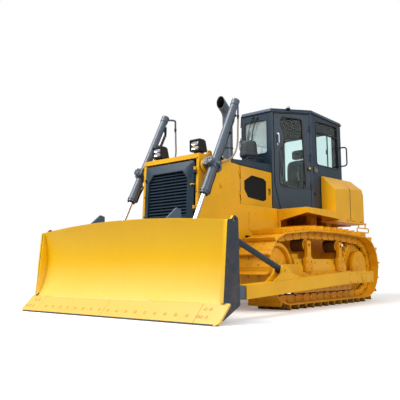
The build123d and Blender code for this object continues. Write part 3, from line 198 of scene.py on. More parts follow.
def moulded(name, colour, rough=0.55, grain=420.0, strength=0.16):
    """Moulded plastic or rubber with a fine leather grain."""
    n = Nodes(name)
    base = linear(*colour)
    cells = n.add("TexVoronoi", {"Scale": grain, "Vector": n.place})
    n.bump(cells.outputs["Distance"], strength, 0.0008)
    n.set(Base_Color=n.blend(n.noise(5.0, 4.0), scaled(base, 0.8), base),
          Roughness=n.ramp(n.noise(30.0, 3.0), rough - 0.06, rough + 0.08))
    return n.material


def pane(name, tint, film=0.0):
    """Tinted safety glass; a film turns a share of it from clear to a pale diffuse face."""
    n = Nodes(name)
    n.set(Base_Color=n.blend(n.noise(3.0, 3.0), tint, scaled(tint, 0.93)), IOR=1.20,
          Roughness=n.ramp(n.noise(11.0, 6.0), 0.0, 0.03, 0.5, 0.9), Transmission_Weight=1.0 - film)
    return n.material


def cloth(name, colour, fleck):
    """A tweed seat cover: two yarns crossing, with flecks."""
    n = Nodes(name)
    sockets = {"Scale": 140.0, "Distortion": 1.5, "Vector": n.place}
    yarns = [n.add("TexWave", sockets, bands_direction=axis).outputs["Fac"] for axis in ("X", "Z")]
    n.bump(n.maths("MULTIPLY", *yarns), 0.4, 0.0015)
    spots = n.ramp(n.noise(46.0, 6.0, 0.7), 0, 1, 0.55, 0.63)
    n.set(Base_Color=n.blend(spots, linear(*colour), linear(*fleck)), Roughness=0.85, Sheen_Weight=0.35)
    return n.material


# The colours given for corners and narrow gaps, here and below, are painted shade.
NIGHT = {"dust": 0.05, "coat": 0.1, "corner_shade": (8, 10, 12)}
BRIGHT = {"shade": 0.97, "dust": 0.0, "coat": 0.2}
YELLOW = paint("yellow_enamel", (254, 188, 16), gloss=0.35)
# The blade's paler lower part is a painted highlight.
BLADE_YELLOW = paint("blade_enamel", (254, 200, 16), rough=0.32, pale=(255, 222, 120), **BRIGHT)
# The cutting edge's paler enamel is a painted highlight, like the blade's pale lower part.
EDGE_HIGHLIGHT_PAINT = paint("edge_enamel_painted_highlight", (254, 196, 88), rough=0.34, **BRIGHT)
TRACK_YELLOW = cast("track_enamel", (253, 180, 18), rough=0.38, grain=0.2, wear=(74, 58, 46), gloss=0.35,
                    corner_shade=(30, 15, 5), reach=0.06)
ROLLER = cast("roller_iron", (104, 62, 22), rough=0.38, grain=0.2, gloss=0.4, corner_shade=(14, 9, 6))
# A darker yellow ring round each edge bolt is painted shade in its countersunk seat.
EDGE_SEAT_SHADE = cast("edge_bolt_seat_shade", (168, 112, 28), rough=0.5, grain=0.2)
IRON = cast("engine_iron", (58, 56, 54), rough=0.55, metal=0.2)
SLATE = paint("slate_enamel", (44, 62, 78), rough=0.34, gloss=0.25, **NIGHT)
SLATE_GLOSS = paint("slate_gloss", (48, 58, 70), rough=0.22, **{**NIGHT, "dust": 0.25, "coat": 0.4})
GUSSET = paint("gusset_enamel", (92, 108, 126), **NIGHT)
CYLINDER = paint("cylinder_enamel", (84, 96, 110), rough=0.30, gloss=0.45, **{**NIGHT, "coat": 0.25})
RED = paint("red_mark", (196, 44, 34), rough=0.4, dust=0.0)
CHROME = polished("hard_chrome", (226, 228, 230), 0.08)
STEEL = polished("bare_steel", (150, 150, 150), 0.32)
DARK_STEEL = polished("dark_steel", (78, 76, 74), 0.42)
BRASS = polished("brass_knob", (196, 160, 96), 0.3)
BLACK = moulded("black_plastic", (30, 31, 33))
CHARCOAL = moulded("charcoal_plastic", (70, 73, 78))
RUBBER = moulded("black_rubber", (24, 24, 26), 0.7, 260.0)
FELT = moulded("dark_liner", (20, 24, 25), 0.9, 160.0, 0.5)
TRIM_GREY = moulded("seal_lock_strip", (112, 104, 106), 0.5)
HOSE = moulded("beige_hose", (158, 146, 124), 0.6, 300.0)
WRAP = moulded("spiral_wrap", (122, 130, 138), 0.45, 380.0)
SOOT = moulded("sooty_pipe", (20, 19, 18), 0.9, 90.0, 0.3)
BLUE = moulded("blue_strip", (52, 126, 190), 0.4)
RED_LENS = moulded("red_lens", (150, 18, 16), 0.15, 600.0, 0.4)
LENS_WHITE = moulded("white_lens", (214, 218, 220), 0.2, 500.0, 0.2)
LENS = pane("lamp_lens", (0.97, 0.98, 1.0))
GLASS = pane("tinted_glass", (0.80, 0.95, 0.94))
SHADE_GLASS = pane("shaded_glass", (0.30, 0.40, 0.37), 0.06)
HAZE_GLASS = pane("hazed_glass", (0.72, 0.84, 0.84), 0.42)
SEAT_CLOTH = cloth("seat_cloth", (8, 20, 22), (126, 156, 154))

FINISH = {node: material for material, nodes in (
    (BLADE_YELLOW, "moldboard cutting_edges"), (SLATE_GLOSS, "end_plates"), (GUSSET, "blade_frame"),
    (SLATE, "blade_braces grille_door hood_top cab_shell cab_roof cab_door_left cab_door_right grab_handles"),
    (IRON, "engine_block"), (BLACK, "radiator_core grille_louvres pre_cleaner headlights control_console"),
    (CYLINDER, "exhaust_stack lift_brackets lift_barrel_left lift_barrel_right"),
    (GLASS, "cab_glass cab_door_glass_left cab_door_glass_right"), (SEAT_CLOTH, "operator_seat"),
    (CHROME, "lift_rod_left lift_rod_right"),
    (TRACK_YELLOW, "track_left track_right track_rollers carrier_rollers idlers sprockets"),
) for node in nodes.split()}


# ---- points and outlines -------------------------------------------------------------------
def mm(table):
    """The rows of a table written in millimetres, in metres."""
    return [tuple(float(value) / 1000 for value in row.split()) for row in table.split(",")]


def metres(rows):
    """Rows given in metres, or as a table in millimetres."""
    return mm(rows) if isinstance(rows, str) else rows


def mirrored(sign, table):
    """Points of the left side, or of the right one where the sign is -1."""
    return [Vector((sign * x, y, z)) for x, y, z in mm(table)]


def spokes(count, first=0.0):
    """The cosine and sine at even steps round a circle."""
    angles = [2 * pi * (i + first) / count for i in range(count)]
    return [(cos(angle), sin(angle)) for angle in angles]


def around(centre, axis, radius, count, first=0.0):
    """Points at even steps round an axis through the centre: 0 for X, 2 for Z."""
    one, two = {0: (Y, Z), 2: (X, Y)}[axis]
    return [Vector(centre) + one * radius * c + two * radius * s for c, s in spokes(count, first)]


def square(axis):
    """An axis and two directions square to it and to each other."""
    axis = Vector(axis).normalized()
    side = axis.orthogonal().normalized()
    return axis, side, axis.cross(side)


def area(outline):
    return sum(a[0] * b[1] - b[0] * a[1] for a, b in zip(outline, outline[1:] + outline[:1])) / 2


def grown(outline, distance):
    """A closed outline moved outward by a distance, or inward where it is negative."""
    outline = metres(outline)
    if area(outline) < 0:
        distance = -distance
    moved = []
    for before, point, after in zip(outline[-1:] + outline[:-1], outline, outline[1:] + outline[:1]):
        first = Vector((point[0] - before[0], point[1] - before[1])).normalized()
        second = Vector((after[0] - point[0], after[1] - point[1])).normalized()
        one, two = Vector((first.y, -first.x)), Vector((second.y, -second.x))
        middle = one + two
        middle = middle / max(0.3, middle.dot(one))
        moved.append((point[0] + middle.x * distance, point[1] + middle.y * distance))
    return moved


def corners(rows, steps=6):
    """An outline with rounded corners from rows of (u, v, radius)."""
    rows, points = metres(rows), []
    for before, row, after in zip(rows[-1:] + rows[:-1], rows, rows[1:] + rows[:1]):
        point, radius = Vector(row[:2]), row[2]
        one = (Vector(before[:2]) - point).normalized()
        two = (Vector(after[:2]) - point).normalized()
        half = one.angle(two) / 2
        if radius <= 0 or half > radians(88):
            points.append(tuple(point))
            continue
        reach = radius / tan(half)
        middle = point + (one + two).normalized() * (radius / sin(half))
        first, last = point + one * reach - middle, point + two * reach - middle
        sweep = first.angle_signed(last)
        for i in range(steps + 1):
            turned = first.copy()
            turned.rotate(Matrix.Rotation(-sweep * i / steps, 2))
            points.append(tuple(middle + turned))
    return points


def box(table, radius=0.0, steps=4):
    """A rectangle from two opposite corners, rounded by a radius."""
    (u0, v0), (u1, v1) = mm(table)
    return corners([(u0, v0, radius), (u1, v0, radius), (u1, v1, radius), (u0, v1, radius)], steps)


def bent(points, radius, steps=6):
    """A path of straight runs joined by arcs."""
    points = [Vector(point) for point in metres(points)]
    path = [points[0]]
    for before, point, after in zip(points, points[1:], points[2:]):
        one, two = (before - point).normalized(), (after - point).normalized()
        half = one.angle(two) / 2
        if half > radians(88):
            path.append(point)
            continue
        reach = min(radius / tan(half), 0.48 * (before - point).length, 0.48 * (after - point).length)
        size = reach * tan(half)
        middle = point + (one + two).normalized() * (size / sin(half))
        first, last = ((point + way * reach - middle).normalized() for way in (one, two))
        path += [middle + first.slerp(last, i / steps) * size for i in range(steps + 1)]
    return path + [points[-1]]


def smooth_path(points, steps=8):
    """A flowing path through points, with no corner at any of them."""
    points = [Vector(point) for point in metres(points)]
    ends = [points[0] * 2 - points[1]] + points + [points[-1] * 2 - points[-2]]
    path = []
    for a, b, c, d in zip(ends, ends[1:], ends[2:], ends[3:]):
        for i in range(steps):
            t = i / steps
            bow, twist = 2 * a - 5 * b + 4 * c - d, 3 * b - a - 3 * c + d
            path.append(0.5 * (2 * b + (c - a) * t + bow * t * t + twist * t ** 3))
    return path + [points[-1]]


# ---- building blocks -----------------------------------------------------------------------
def stand(name, data):
    """A new object in the scene."""
    piece = bpy.data.objects.new(name, data)
    bpy.context.scene.collection.objects.link(piece)
    return piece


def finish_mesh(piece, angle=32):
    """Smooth faces, with creases kept where the form turns sharply."""
    piece.data.shade_smooth()
    piece.data.set_sharp_from_angle(angle=radians(angle))


def rounded(piece, width):
    """The piece with its sharp edges rounded in the mesh itself."""
    piece.data.shade_smooth()
    bevel = piece.modifiers.new("edges", "BEVEL")
    bevel.width = width
    bevel.segments = 2
    bevel.limit_method = "ANGLE"
    bevel.angle_limit = radians(30)
    bevel.miter_outer = "MITER_ARC"
    piece.modifiers.new("normals", "WEIGHTED_NORMAL").weight = 80
    graph = bpy.context.evaluated_depsgraph_get()
    piece.data = bpy.data.meshes.new_from_object(piece.evaluated_get(graph))
    piece.modifiers.clear()


class Wall:
    """A flat face of the machine: u along it, v up it, w out of it."""

    def __init__(self, origin, u, v, w):
        self.origin = Vector(origin)
        self.u, self.v, self.w = (Vector(axis).normalized() for axis in (u, v, w))

    def at(self, u, v, w=0.0):
        return self.origin + self.u * u + self.v * v + self.w * w

    def path(self, rows):
        return [self.at(*row) for row in metres(rows)]


def cross_wall(x, sign=1):
    """The plane square to X at x, with u to the rear and v up."""
    return Wall((x, 0, 0), Y, Z, (sign, 0, 0))


def upright(x, y, z, out=-1):
    """The plane square to Y that faces the front, or the rear where out is 1."""
    return Wall((x, y, z), X, Z, (0, out, 0))


LEVEL = Wall((0, 0, 0), X, Y, Z)


class Shape:
    """Closed solids gathered in one mesh, which then rides on a body as one piece."""

    def __init__(self, name, body, slot, *materials):
        self.name, self.body, self.slot, self.materials = name, body, slot, materials
        self.bm = bmesh.new()
        self.index = 0

    def on(self, index):
        """The material that what follows is made of."""
        self.index = index
        return self

    def skin(self, loops, wrap=False):
        """A skin over closed loops of points, its ends capped or joined."""
        rows = [[self.bm.verts.new(point) for point in loop] for loop in loops]
        faces = []
        for first, second in zip(rows, rows[1:] + (rows[:1] if wrap else [])):
            count = len(first)
            for i in range(count):
                j = (i + 1) % count
                faces.append(self.bm.faces.new((first[i], first[j], second[j], second[i])))
        if not wrap:
            faces += [self.bm.faces.new(rows[0][::-1]), self.bm.faces.new(rows[-1])]
        for face in faces:
            face.material_index = self.index
        return self

    def plate(self, wall, outline, low, high):
        """A (u, v) outline on a wall, from w = low to w = high."""
        return self.skin([[wall.at(u, v, w) for u, v in outline] for w in (low, high)])

    def bar(self, wall, profile, start, end):
        """A (v, w) profile drawn along a wall from u = start to u = end."""
        return self.skin([[wall.at(u, v, w) for v, w in metres(profile)] for u in (start, end)])

    def pierced(self, wall, outline, middle, radius, low, high):
        """A plate with a round hole through it."""
        if area(outline) < 0:
            outline = outline[::-1]
        hole = [(middle[0] + radius * c, middle[1] + radius * s) for c, s in spokes(28)]
        layers = []
        for w in (low, high):
            loops = [[self.bm.verts.new(wall.at(u, v, w)) for u, v in points] for points in (outline, hole)]
            edges = [self.bm.edges.new(ends) for loop in loops for ends in zip(loop, loop[1:] + loop[:1])]
            bmesh.ops.triangle_fill(self.bm, use_beauty=True, use_dissolve=False, edges=edges)
            layers.append(loops)
        for one, two in zip(*layers):
            for i in range(len(one)):
                j = (i + 1) % len(one)
                self.bm.faces.new((one[i], one[j], two[j], two[i]))
        return self

    def lathe(self, centre, axis, rows, sides=24):
        """Rows of (distance along the axis, radius) turned about it."""
        axis, side, other = square(axis)
        rim = [side * c + other * s for c, s in spokes(sides)]
        rows = metres(rows)
        centre = Vector(centre)
        return self.skin([[centre + axis * reach + ray * radius for ray in rim] for reach, radius in rows])

    def ring(self, centre, axis, radius, thick, sides=32, steps=10):
        """A torus about an axis."""
        axis, side, other = square(axis)
        centre = Vector(centre)
        rays = [side * c + other * s for c, s in spokes(sides)]
        return self.skin([
            [centre + ray * (radius + thick * c) + axis * thick * s for c, s in spokes(steps)] for ray in rays
        ], wrap=True)

    def tube(self, path, radius, sides=12):
        """A round bar along a path; radius is a number or one for each point."""
        path = [Vector(point) for point in metres(path)]
        radii = radius if isinstance(radius, (list, tuple)) else [radius] * len(path)
        heading = (path[1] - path[0]).normalized()
        side = heading.orthogonal().normalized()
        loops = []
        for i, point in enumerate(path):
            before = (point - path[i - 1]).normalized() if i else heading
            after = (path[i + 1] - point).normalized() if i + 1 < len(path) else before
            heading = (before + after).normalized()
            side = (side - heading * side.dot(heading)).normalized()
            other = heading.cross(side)
            size = radii[i] / max(0.5, heading.dot(before))
            loops.append([point + (side * c + other * s) * size for c, s in spokes(sides)])
        return self.skin(loops)

    def bolt(self, point, axis, size):
        """A hexagon head with a chamfered crown on a flat washer."""
        washer = [(-0.001, size * 1.35), (size * 0.18, size * 1.35), (size * 0.22, size * 1.25)]
        head = [(size * 0.22, size), (size * 0.75, size), (size * 0.92, size * 0.82)]
        return self.lathe(point, axis, washer, 16).lathe(point, axis, head, 6)

    def bolts(self, points, axis, size):
        for point in points:
            self.bolt(point, axis, size)
        return self

    def trim(self, wall, outline, width, low, high):
        """A rounded strip that follows a closed outline on a wall, on its inner side."""
        lip = high - 0.3 * (high - low)
        rows = [(0, low), (0, lip), (-width * 0.25, high),
                (-width * 0.75, high), (-width, lip), (-width, low)]
        return self.skin([[wall.at(u, v, w) for u, v in grown(outline, off)] for off, w in rows], wrap=True)

    def done(self, edge=0.0, angle=32, replaces=()):
        bmesh.ops.recalc_face_normals(self.bm, faces=self.bm.faces)
        mesh = bpy.data.meshes.new(self.name)
        self.bm.to_mesh(mesh)
        self.bm.free()
        for material in self.materials:
            mesh.materials.append(material)
        piece = stand(self.name, mesh)
        if edge:
            rounded(piece, edge)
        else:
            finish_mesh(piece, angle)
        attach(piece, self.body)
        if replaces:
            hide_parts(*replaces)
        return piece


def soften(node, width):
    """A detailed stand-in for a CAD node: the same form with every edge rounded."""
    source = frame["nodes"][node]
    mesh = source.data.copy()
    bm = bmesh.new()
    bm.from_mesh(mesh)
    bmesh.ops.remove_doubles(bm, verts=bm.verts, dist=2e-5)
    bmesh.ops.dissolve_limit(bm, angle_limit=radians(0.6), verts=bm.verts, edges=bm.edges)
    bmesh.ops.triangulate(bm, faces=bm.faces)
    bm.to_mesh(mesh)
    bm.free()
    mesh.materials.clear()
    mesh.materials.append(FINISH.get(node, YELLOW))
    piece = stand(node + "_form", mesh)
    rounded(piece, width)
    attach(piece, source["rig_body"])
    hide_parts(node)


for node in frame["nodes"].values():
    node.data.materials.clear()
    node.data.materials.append(FINISH.get(node.name, YELLOW))
    finish_mesh(node)
for width, nodes in (
    (0.003, "side_panels engine_door_left engine_door_right cab_door_left cab_door_right"),
    (0.004, "cab_shell fenders"), (0.005, "cab_roof track_frames blade_frame"),
    (0.006, "main_frame hood_top push_arms"), (0.007, "radiator_guard"), (0.008, "side_boxes"),
    (0.010, "fuel_tank"),
):
    for node in nodes.split():
        soften(node, width)

# ---- blade ---------------------------------------------------------------------------------
EDGE_WALL = Wall((0, edge_of("cutting_edges", 1, 0), edge_of("cutting_edges", 2, 0)), X,
                 (0, 0.195, 0.196), (0, -0.196, 0.195))
EDGE_THICK, EDGE_FOOT, EDGE_CORNER = 0.025, 0.0249, 0.06
# columns: the segment's two ends, its height along the slope, its rounded end
EDGE_SEGMENTS = (
    (-1.690, -1.363, 0.2885, -1), (-1.359, -0.070, 0.2765, 0),
    (-0.066, 1.359, 0.2765, 0), (1.363, 1.690, 0.2885, 1),
)
# columns: x, distance up the slope
EDGE_BOLTS = [(-1.205 + 0.1525 * i, 0.107) for i in range(17)]
EDGE_BOLTS += [(x, 0.203) for x in (1.430, 1.498, -1.540, -1.463)]
EDGE_BOLTS += [(x, 0.100) for x in (1.387, 1.430, 1.498, -1.630, -1.557, -1.484)]
EDGE_LIP = "-0.8 0.4, 18.5 1.4, 18.5 -2, 21.5 -20.5, 17 -22.5"

edge = Shape("cutting_edge_form", "blade", "edge_steel", EDGE_HIGHLIGHT_PAINT)
for start, end, tall, turned in EDGE_SEGMENTS:
    foot = [(start, 0, EDGE_CORNER * (turned < 0)), (end, 0, EDGE_CORNER * (turned > 0))]
    front = corners(foot + [(end, tall, 0), (start, tall, 0)])
    edge.skin([EDGE_WALL.path(front), [EDGE_WALL.at(u, max(v, EDGE_FOOT), -EDGE_THICK) for u, v in front]])
edge.done(edge=0.0025, replaces=["cutting_edges"])
# A black strip along the foot of the edge: partly its worn bare underside, partly painted contact shadow.
lip = Shape("cutting_edge_wear_and_shadow_lip", "blade", "edge_steel", BLACK)
for start, end in mm("-1630 -1364, -1358 -71, -65 1358, 1364 1630"):
    lip.bar(EDGE_WALL, EDGE_LIP, start, end)
lip.done()
bolts = Shape("cutting_edge_bolts", "blade", "edge_steel", EDGE_HIGHLIGHT_PAINT, EDGE_SEAT_SHADE)
for spot in EDGE_WALL.path(EDGE_BOLTS):
    # The darker ring is painted shade in the countersunk seat.
    bolts.on(1).ring(spot, EDGE_WALL.w, 0.0155, 0.0028, 20, 8)
    bolts.on(0).lathe(spot, EDGE_WALL.w, "-6 12, 0.8 12.5, 2.2 9", 18)
bolts.done(angle=40)

# columns: y, z, corner radius
END_PLATE = """-2193 1103 35, -2125 1067 30, -2110 172 30, -2425 22 12, -2352 188 10, -2370 206 4,
    -2391 206 6, -2311 1046 20, -2240 1055 20"""
END_HOLE = (-2.184, 1.048)
END_THICK = 0.0275
END_X = edge_of("end_plates", 0) - END_THICK
plates = Shape("end_plate_forms", "blade", "grey_paint", SLATE_GLOSS, BLADE_YELLOW)
for sign, _ in SIDES:
    plates.pierced(cross_wall(sign * END_X, sign), corners(END_PLATE, 4), END_HOLE, 0.018, 0, END_THICK)
    plates.ring((sign * 1.6258, *END_HOLE), X, 0.0215, 0.0040, 28, 8)
for face in plates.done(replaces=["end_plates"]).data.polygons:
    # The blade's yellow runs over the plates' front edges.
    if abs(face.normal.x) < 0.5 and face.normal.y < 0.2 and face.center.y < -2.2:
        face.material_index = 1


# The moldboard: one rolled sheet, its curve carried on up to the crowned top.
MOLD_HALF, MOLD_TOP = edge_of("moldboard", 0), edge_of("moldboard", 2)
MOLD_FOOT = edge_of("moldboard", 2, 0) + 0.0002
MOLD_THICK, MOLD_ROUND, MOLD_CROWN = 0.020, 0.0042, 0.080


def face_y(z):
    """Where the moldboard's curved face lies at a height."""
    return -3.2369 + (0.995213 - (z - 0.70233) ** 2) ** 0.5


sheet = Shape("moldboard_sheet", "blade", "yellow_paint", BLADE_YELLOW)
loops = []
for i in range(49):
    x = MOLD_HALF * (i / 24 - 1)
    crown = MOLD_TOP - MOLD_CROWN * (x / MOLD_HALF) ** 2
    rise = [MOLD_FOOT + (crown - MOLD_ROUND - MOLD_FOOT) * k / 32 for k in range(33)]
    brow = [(x, face_y(crown) + y, crown - drop) for y, drop in mm("1.2 1.2, 4.2 0, 15.8 0, 18.8 1.2")]
    back = [(x, face_y(z) + MOLD_THICK, z) for z in rise[::-1]]
    loops.append([(x, face_y(z), z) for z in rise] + brow + back)
sheet.skin(loops).done(angle=50, replaces=["moldboard"])

# Each end of the hollow has a plate on the face, and a weld bead beside it.
closers = Shape("blade_end_closers", "blade", "yellow_paint", BLADE_YELLOW)
welds = Shape("blade_welds", "blade", "yellow_paint", BLADE_YELLOW)
for sign, _ in SIDES:
    rear = [(face_y(0.212 + 0.0415 * i) - 0.001, 0.212 + 0.0415 * i) for i in range(1, 20)]
    outline = mm("-2303 1046, -2389 212") + rear + [(-2.299, 1.046)]
    closers.plate(cross_wall(sign * 1.573, sign), outline, 0, 0.0252)
    bead = [(sign * 1.5715, face_y(z) - 0.002, z) for z in (0.225 + i / 24 * 0.800 for i in range(25))]
    welds.tube(bead, [0.0055 + 0.0009 * sin(i * 2.4) for i in range(25)], 8)
closers.done(edge=0.002)
welds.done()

# ---- nose ----------------------------------------------------------------------------------
FACE = Wall((0, -1.485, edge_of("radiator_guard", 2, 0)), X, (0, 0.06, 1.12), (0, -1.12, 0.06))
# the grille frame's section: distance off the outline, distance out of the face
MASK = (
    ("-440 265, 440 265, 440 1000, 410 1030, -410 1030, -440 1000", "0 0.3, 0 17, -6 20"),
    ("-350 310, 350 310, 350 795, 265 900, -265 900, -350 795", "16 48, 10 50, 2 50, 0 47, 0 0.3"),
)
SLAT_HALF = edge_of("grille_louvres", 0) - 0.0005
mask = Shape("grille_frame", "grille", "grey_paint", SLATE)
mask.skin([
    [FACE.at(u, v, w) for u, v in grown(outline, off)] for outline, rows in MASK for off, w in mm(rows)
], wrap=True)
for v in (0.4, 0.9):
    mask.lathe(FACE.at(0.458, v - 0.040, 0.030), FACE.v, "0 12, 2 14, 37.8 14, 39.8 12", 20)
    mask.plate(FACE, [(u, v + rise) for u, rise in mm("428 -38, 458 -38, 458 -3, 428 -3")], 0.018, 0.036)
mask.done(edge=0.0022, angle=25, replaces=["grille_door"])

details = Shape("grille_details", "grille", "black_plastic", BLACK, DARK_STEEL)
for spot in FACE.path("377 825 26, -404 825 26"):
    details.lathe(spot, FACE.w, "0 21, 18 21, 18.5 17, 12 16", 24)
for x in (-0.40, 0.40):
    details.on(1).bolts([FACE.at(x, v, 0.031) for v in (0.30, 0.46, 0.62)], FACE.w, 0.006)
details.done(angle=35)

# Slats that lean, the front edge low, each ending in the frame's opening.
louvres = Shape("louvre_slats", "grille", "black_plastic", SLATE, BLACK)
for i in range(14):
    low = 0.318 + 0.0416 * i
    half = SLAT_HALF if low < 0.770 else SLAT_HALF - (low + 0.024 - 0.795) * 0.8095
    slat = mm("0 33.5, 1.5 35, 7 35, 27.5 13.5, 27.5 10, 25.5 10, 6 31.2")
    louvres.bar(FACE, [(low + v, w) for v, w in slat], -half, half)
for strip in ("-130 311.5, -110 898.5", "110 311.5, 130 898.5"):
    louvres.on(1).plate(FACE, box(strip), 0.0035, 0.0095)
louvres.done(replaces=["grille_louvres"])

# Behind the louvres: a dark screen with fins, in front of the core.
backing = Shape("radiator_screen", "root", "core_metal", BLACK, SOOT)
backing.on(1).plate(FACE, box("-420 240, 420 960"), -0.034, -0.028).on(0)
for i in range(41):
    u = -400 + 20 * i
    backing.plate(FACE, box(f"{u - 1.5} 250, {u + 1.5} 950"), -0.0285, -0.018)
backing.done()

latch = Shape("grille_latch", "grille", "yellow_paint", YELLOW, SLATE)
latch.on(1).plate(FACE, box("395 690, 437 735", 0.006, 3), 0.020, 0.034).on(0)
latch.tube(smooth_path(FACE.path("410 712 34, 425 712 50, 448 712 46, 462 712 26")), 0.007, 10)
latch.lathe(FACE.at(0.410, 0.712, 0.030), FACE.w, "0 12, 12 12, 15 9", 18)
latch.done()

LAMP_X, LAMP_Z = 0.348, 2.148
lamps = Shape("headlight_inner", "root", "lamp", CHROME, BLACK, LENS)
frames = Shape("headlight_frames", "root", "black_plastic", BLACK)
# columns: y, half width, half height of a reflector's loops
REFLECTOR = mm("-1321.2 62 25, -1336 64 27, -1337.2 62 25, -1330 46 18, -1325 20 8")
for sign, _ in SIDES:
    x = sign * LAMP_X
    lamps.on(1).plate(upright(x, -1.3195, LAMP_Z), box("-72 -58, 72 58"), 0, 0.0015).on(0)
    for z in (2.119, 2.177):
        lamps.skin([[(x + a * c, y, z + b * s) for c, s in spokes(28)] for y, a, b in REFLECTOR])
        lamps.lathe((x, -1.326, z), -Y, "0 9, 6 9, 10 5", 14)
    lamps.on(2).plate(upright(x, -1.3385, LAMP_Z), box("-73 -59, 73 59", 0.01), 0, 0.0025)
    wall = upright(x, -1.345, LAMP_Z)
    frames.trim(wall, box("-83 -71, 83 79", 0.012), 0.012, -0.006, 0.002)
    frames.plate(wall, box("-73 -4, 73 4"), -0.006, 0.001)
    for side in (-1, 1):
        frames.bolt((x + side * 0.08502, -1.25, 2.15), (side, 0, 0), 0.008)
lamps.done()
frames.done()

# Fasteners and small lugs on the guard's sides and top.
guard = Shape("guard_fasteners", "root", "yellow_paint", YELLOW, DARK_STEEL)
for sign, _ in SIDES:
    out = (sign, 0, 0)
    guard.on(0).bolts(mirrored(sign, """500 -1139 1672, 500 -871 1743, 500 -1050 1500, 500 -900 1350,
        500 -1300 1020, 500 -600 1020"""), out, 0.009)
    guard.lathe((sign * 0.500, -0.980, 1.640), out, "0 30, 10 30, 13 27, 13 14, 22 14, 24 11")
    guard.on(1).bolts(mirrored(sign, "300 -940 2041, 300 -800 2041"), Z, 0.009)
for x in (-0.47, 0.47):
    guard.bolts([FACE.at(x, v) for v in (0.12, 0.35, 0.62, 0.86, 1.06)], FACE.w, 0.007)
guard.done()

# ---- lift cylinders ------------------------------------------------------------------------
LIFT_X = 0.66
YOKE = Vector((0, -1.325, 1.862))
DOWN = Vector((0, -0.458059, -0.888922))
BACK = Vector((0, 0.888922, -0.458059))


def on_cylinder(sign, reach, off=0.0, side=0.0):
    """A point on a lift cylinder: down from its trunnion, off to the rear, outward from its axis."""
    return Vector((sign * (LIFT_X + side), YOKE.y, YOKE.z)) + DOWN * reach + BACK * off


def along_cylinder(sign, table):
    return [on_cylinder(sign, *row) for row in mm(table)]


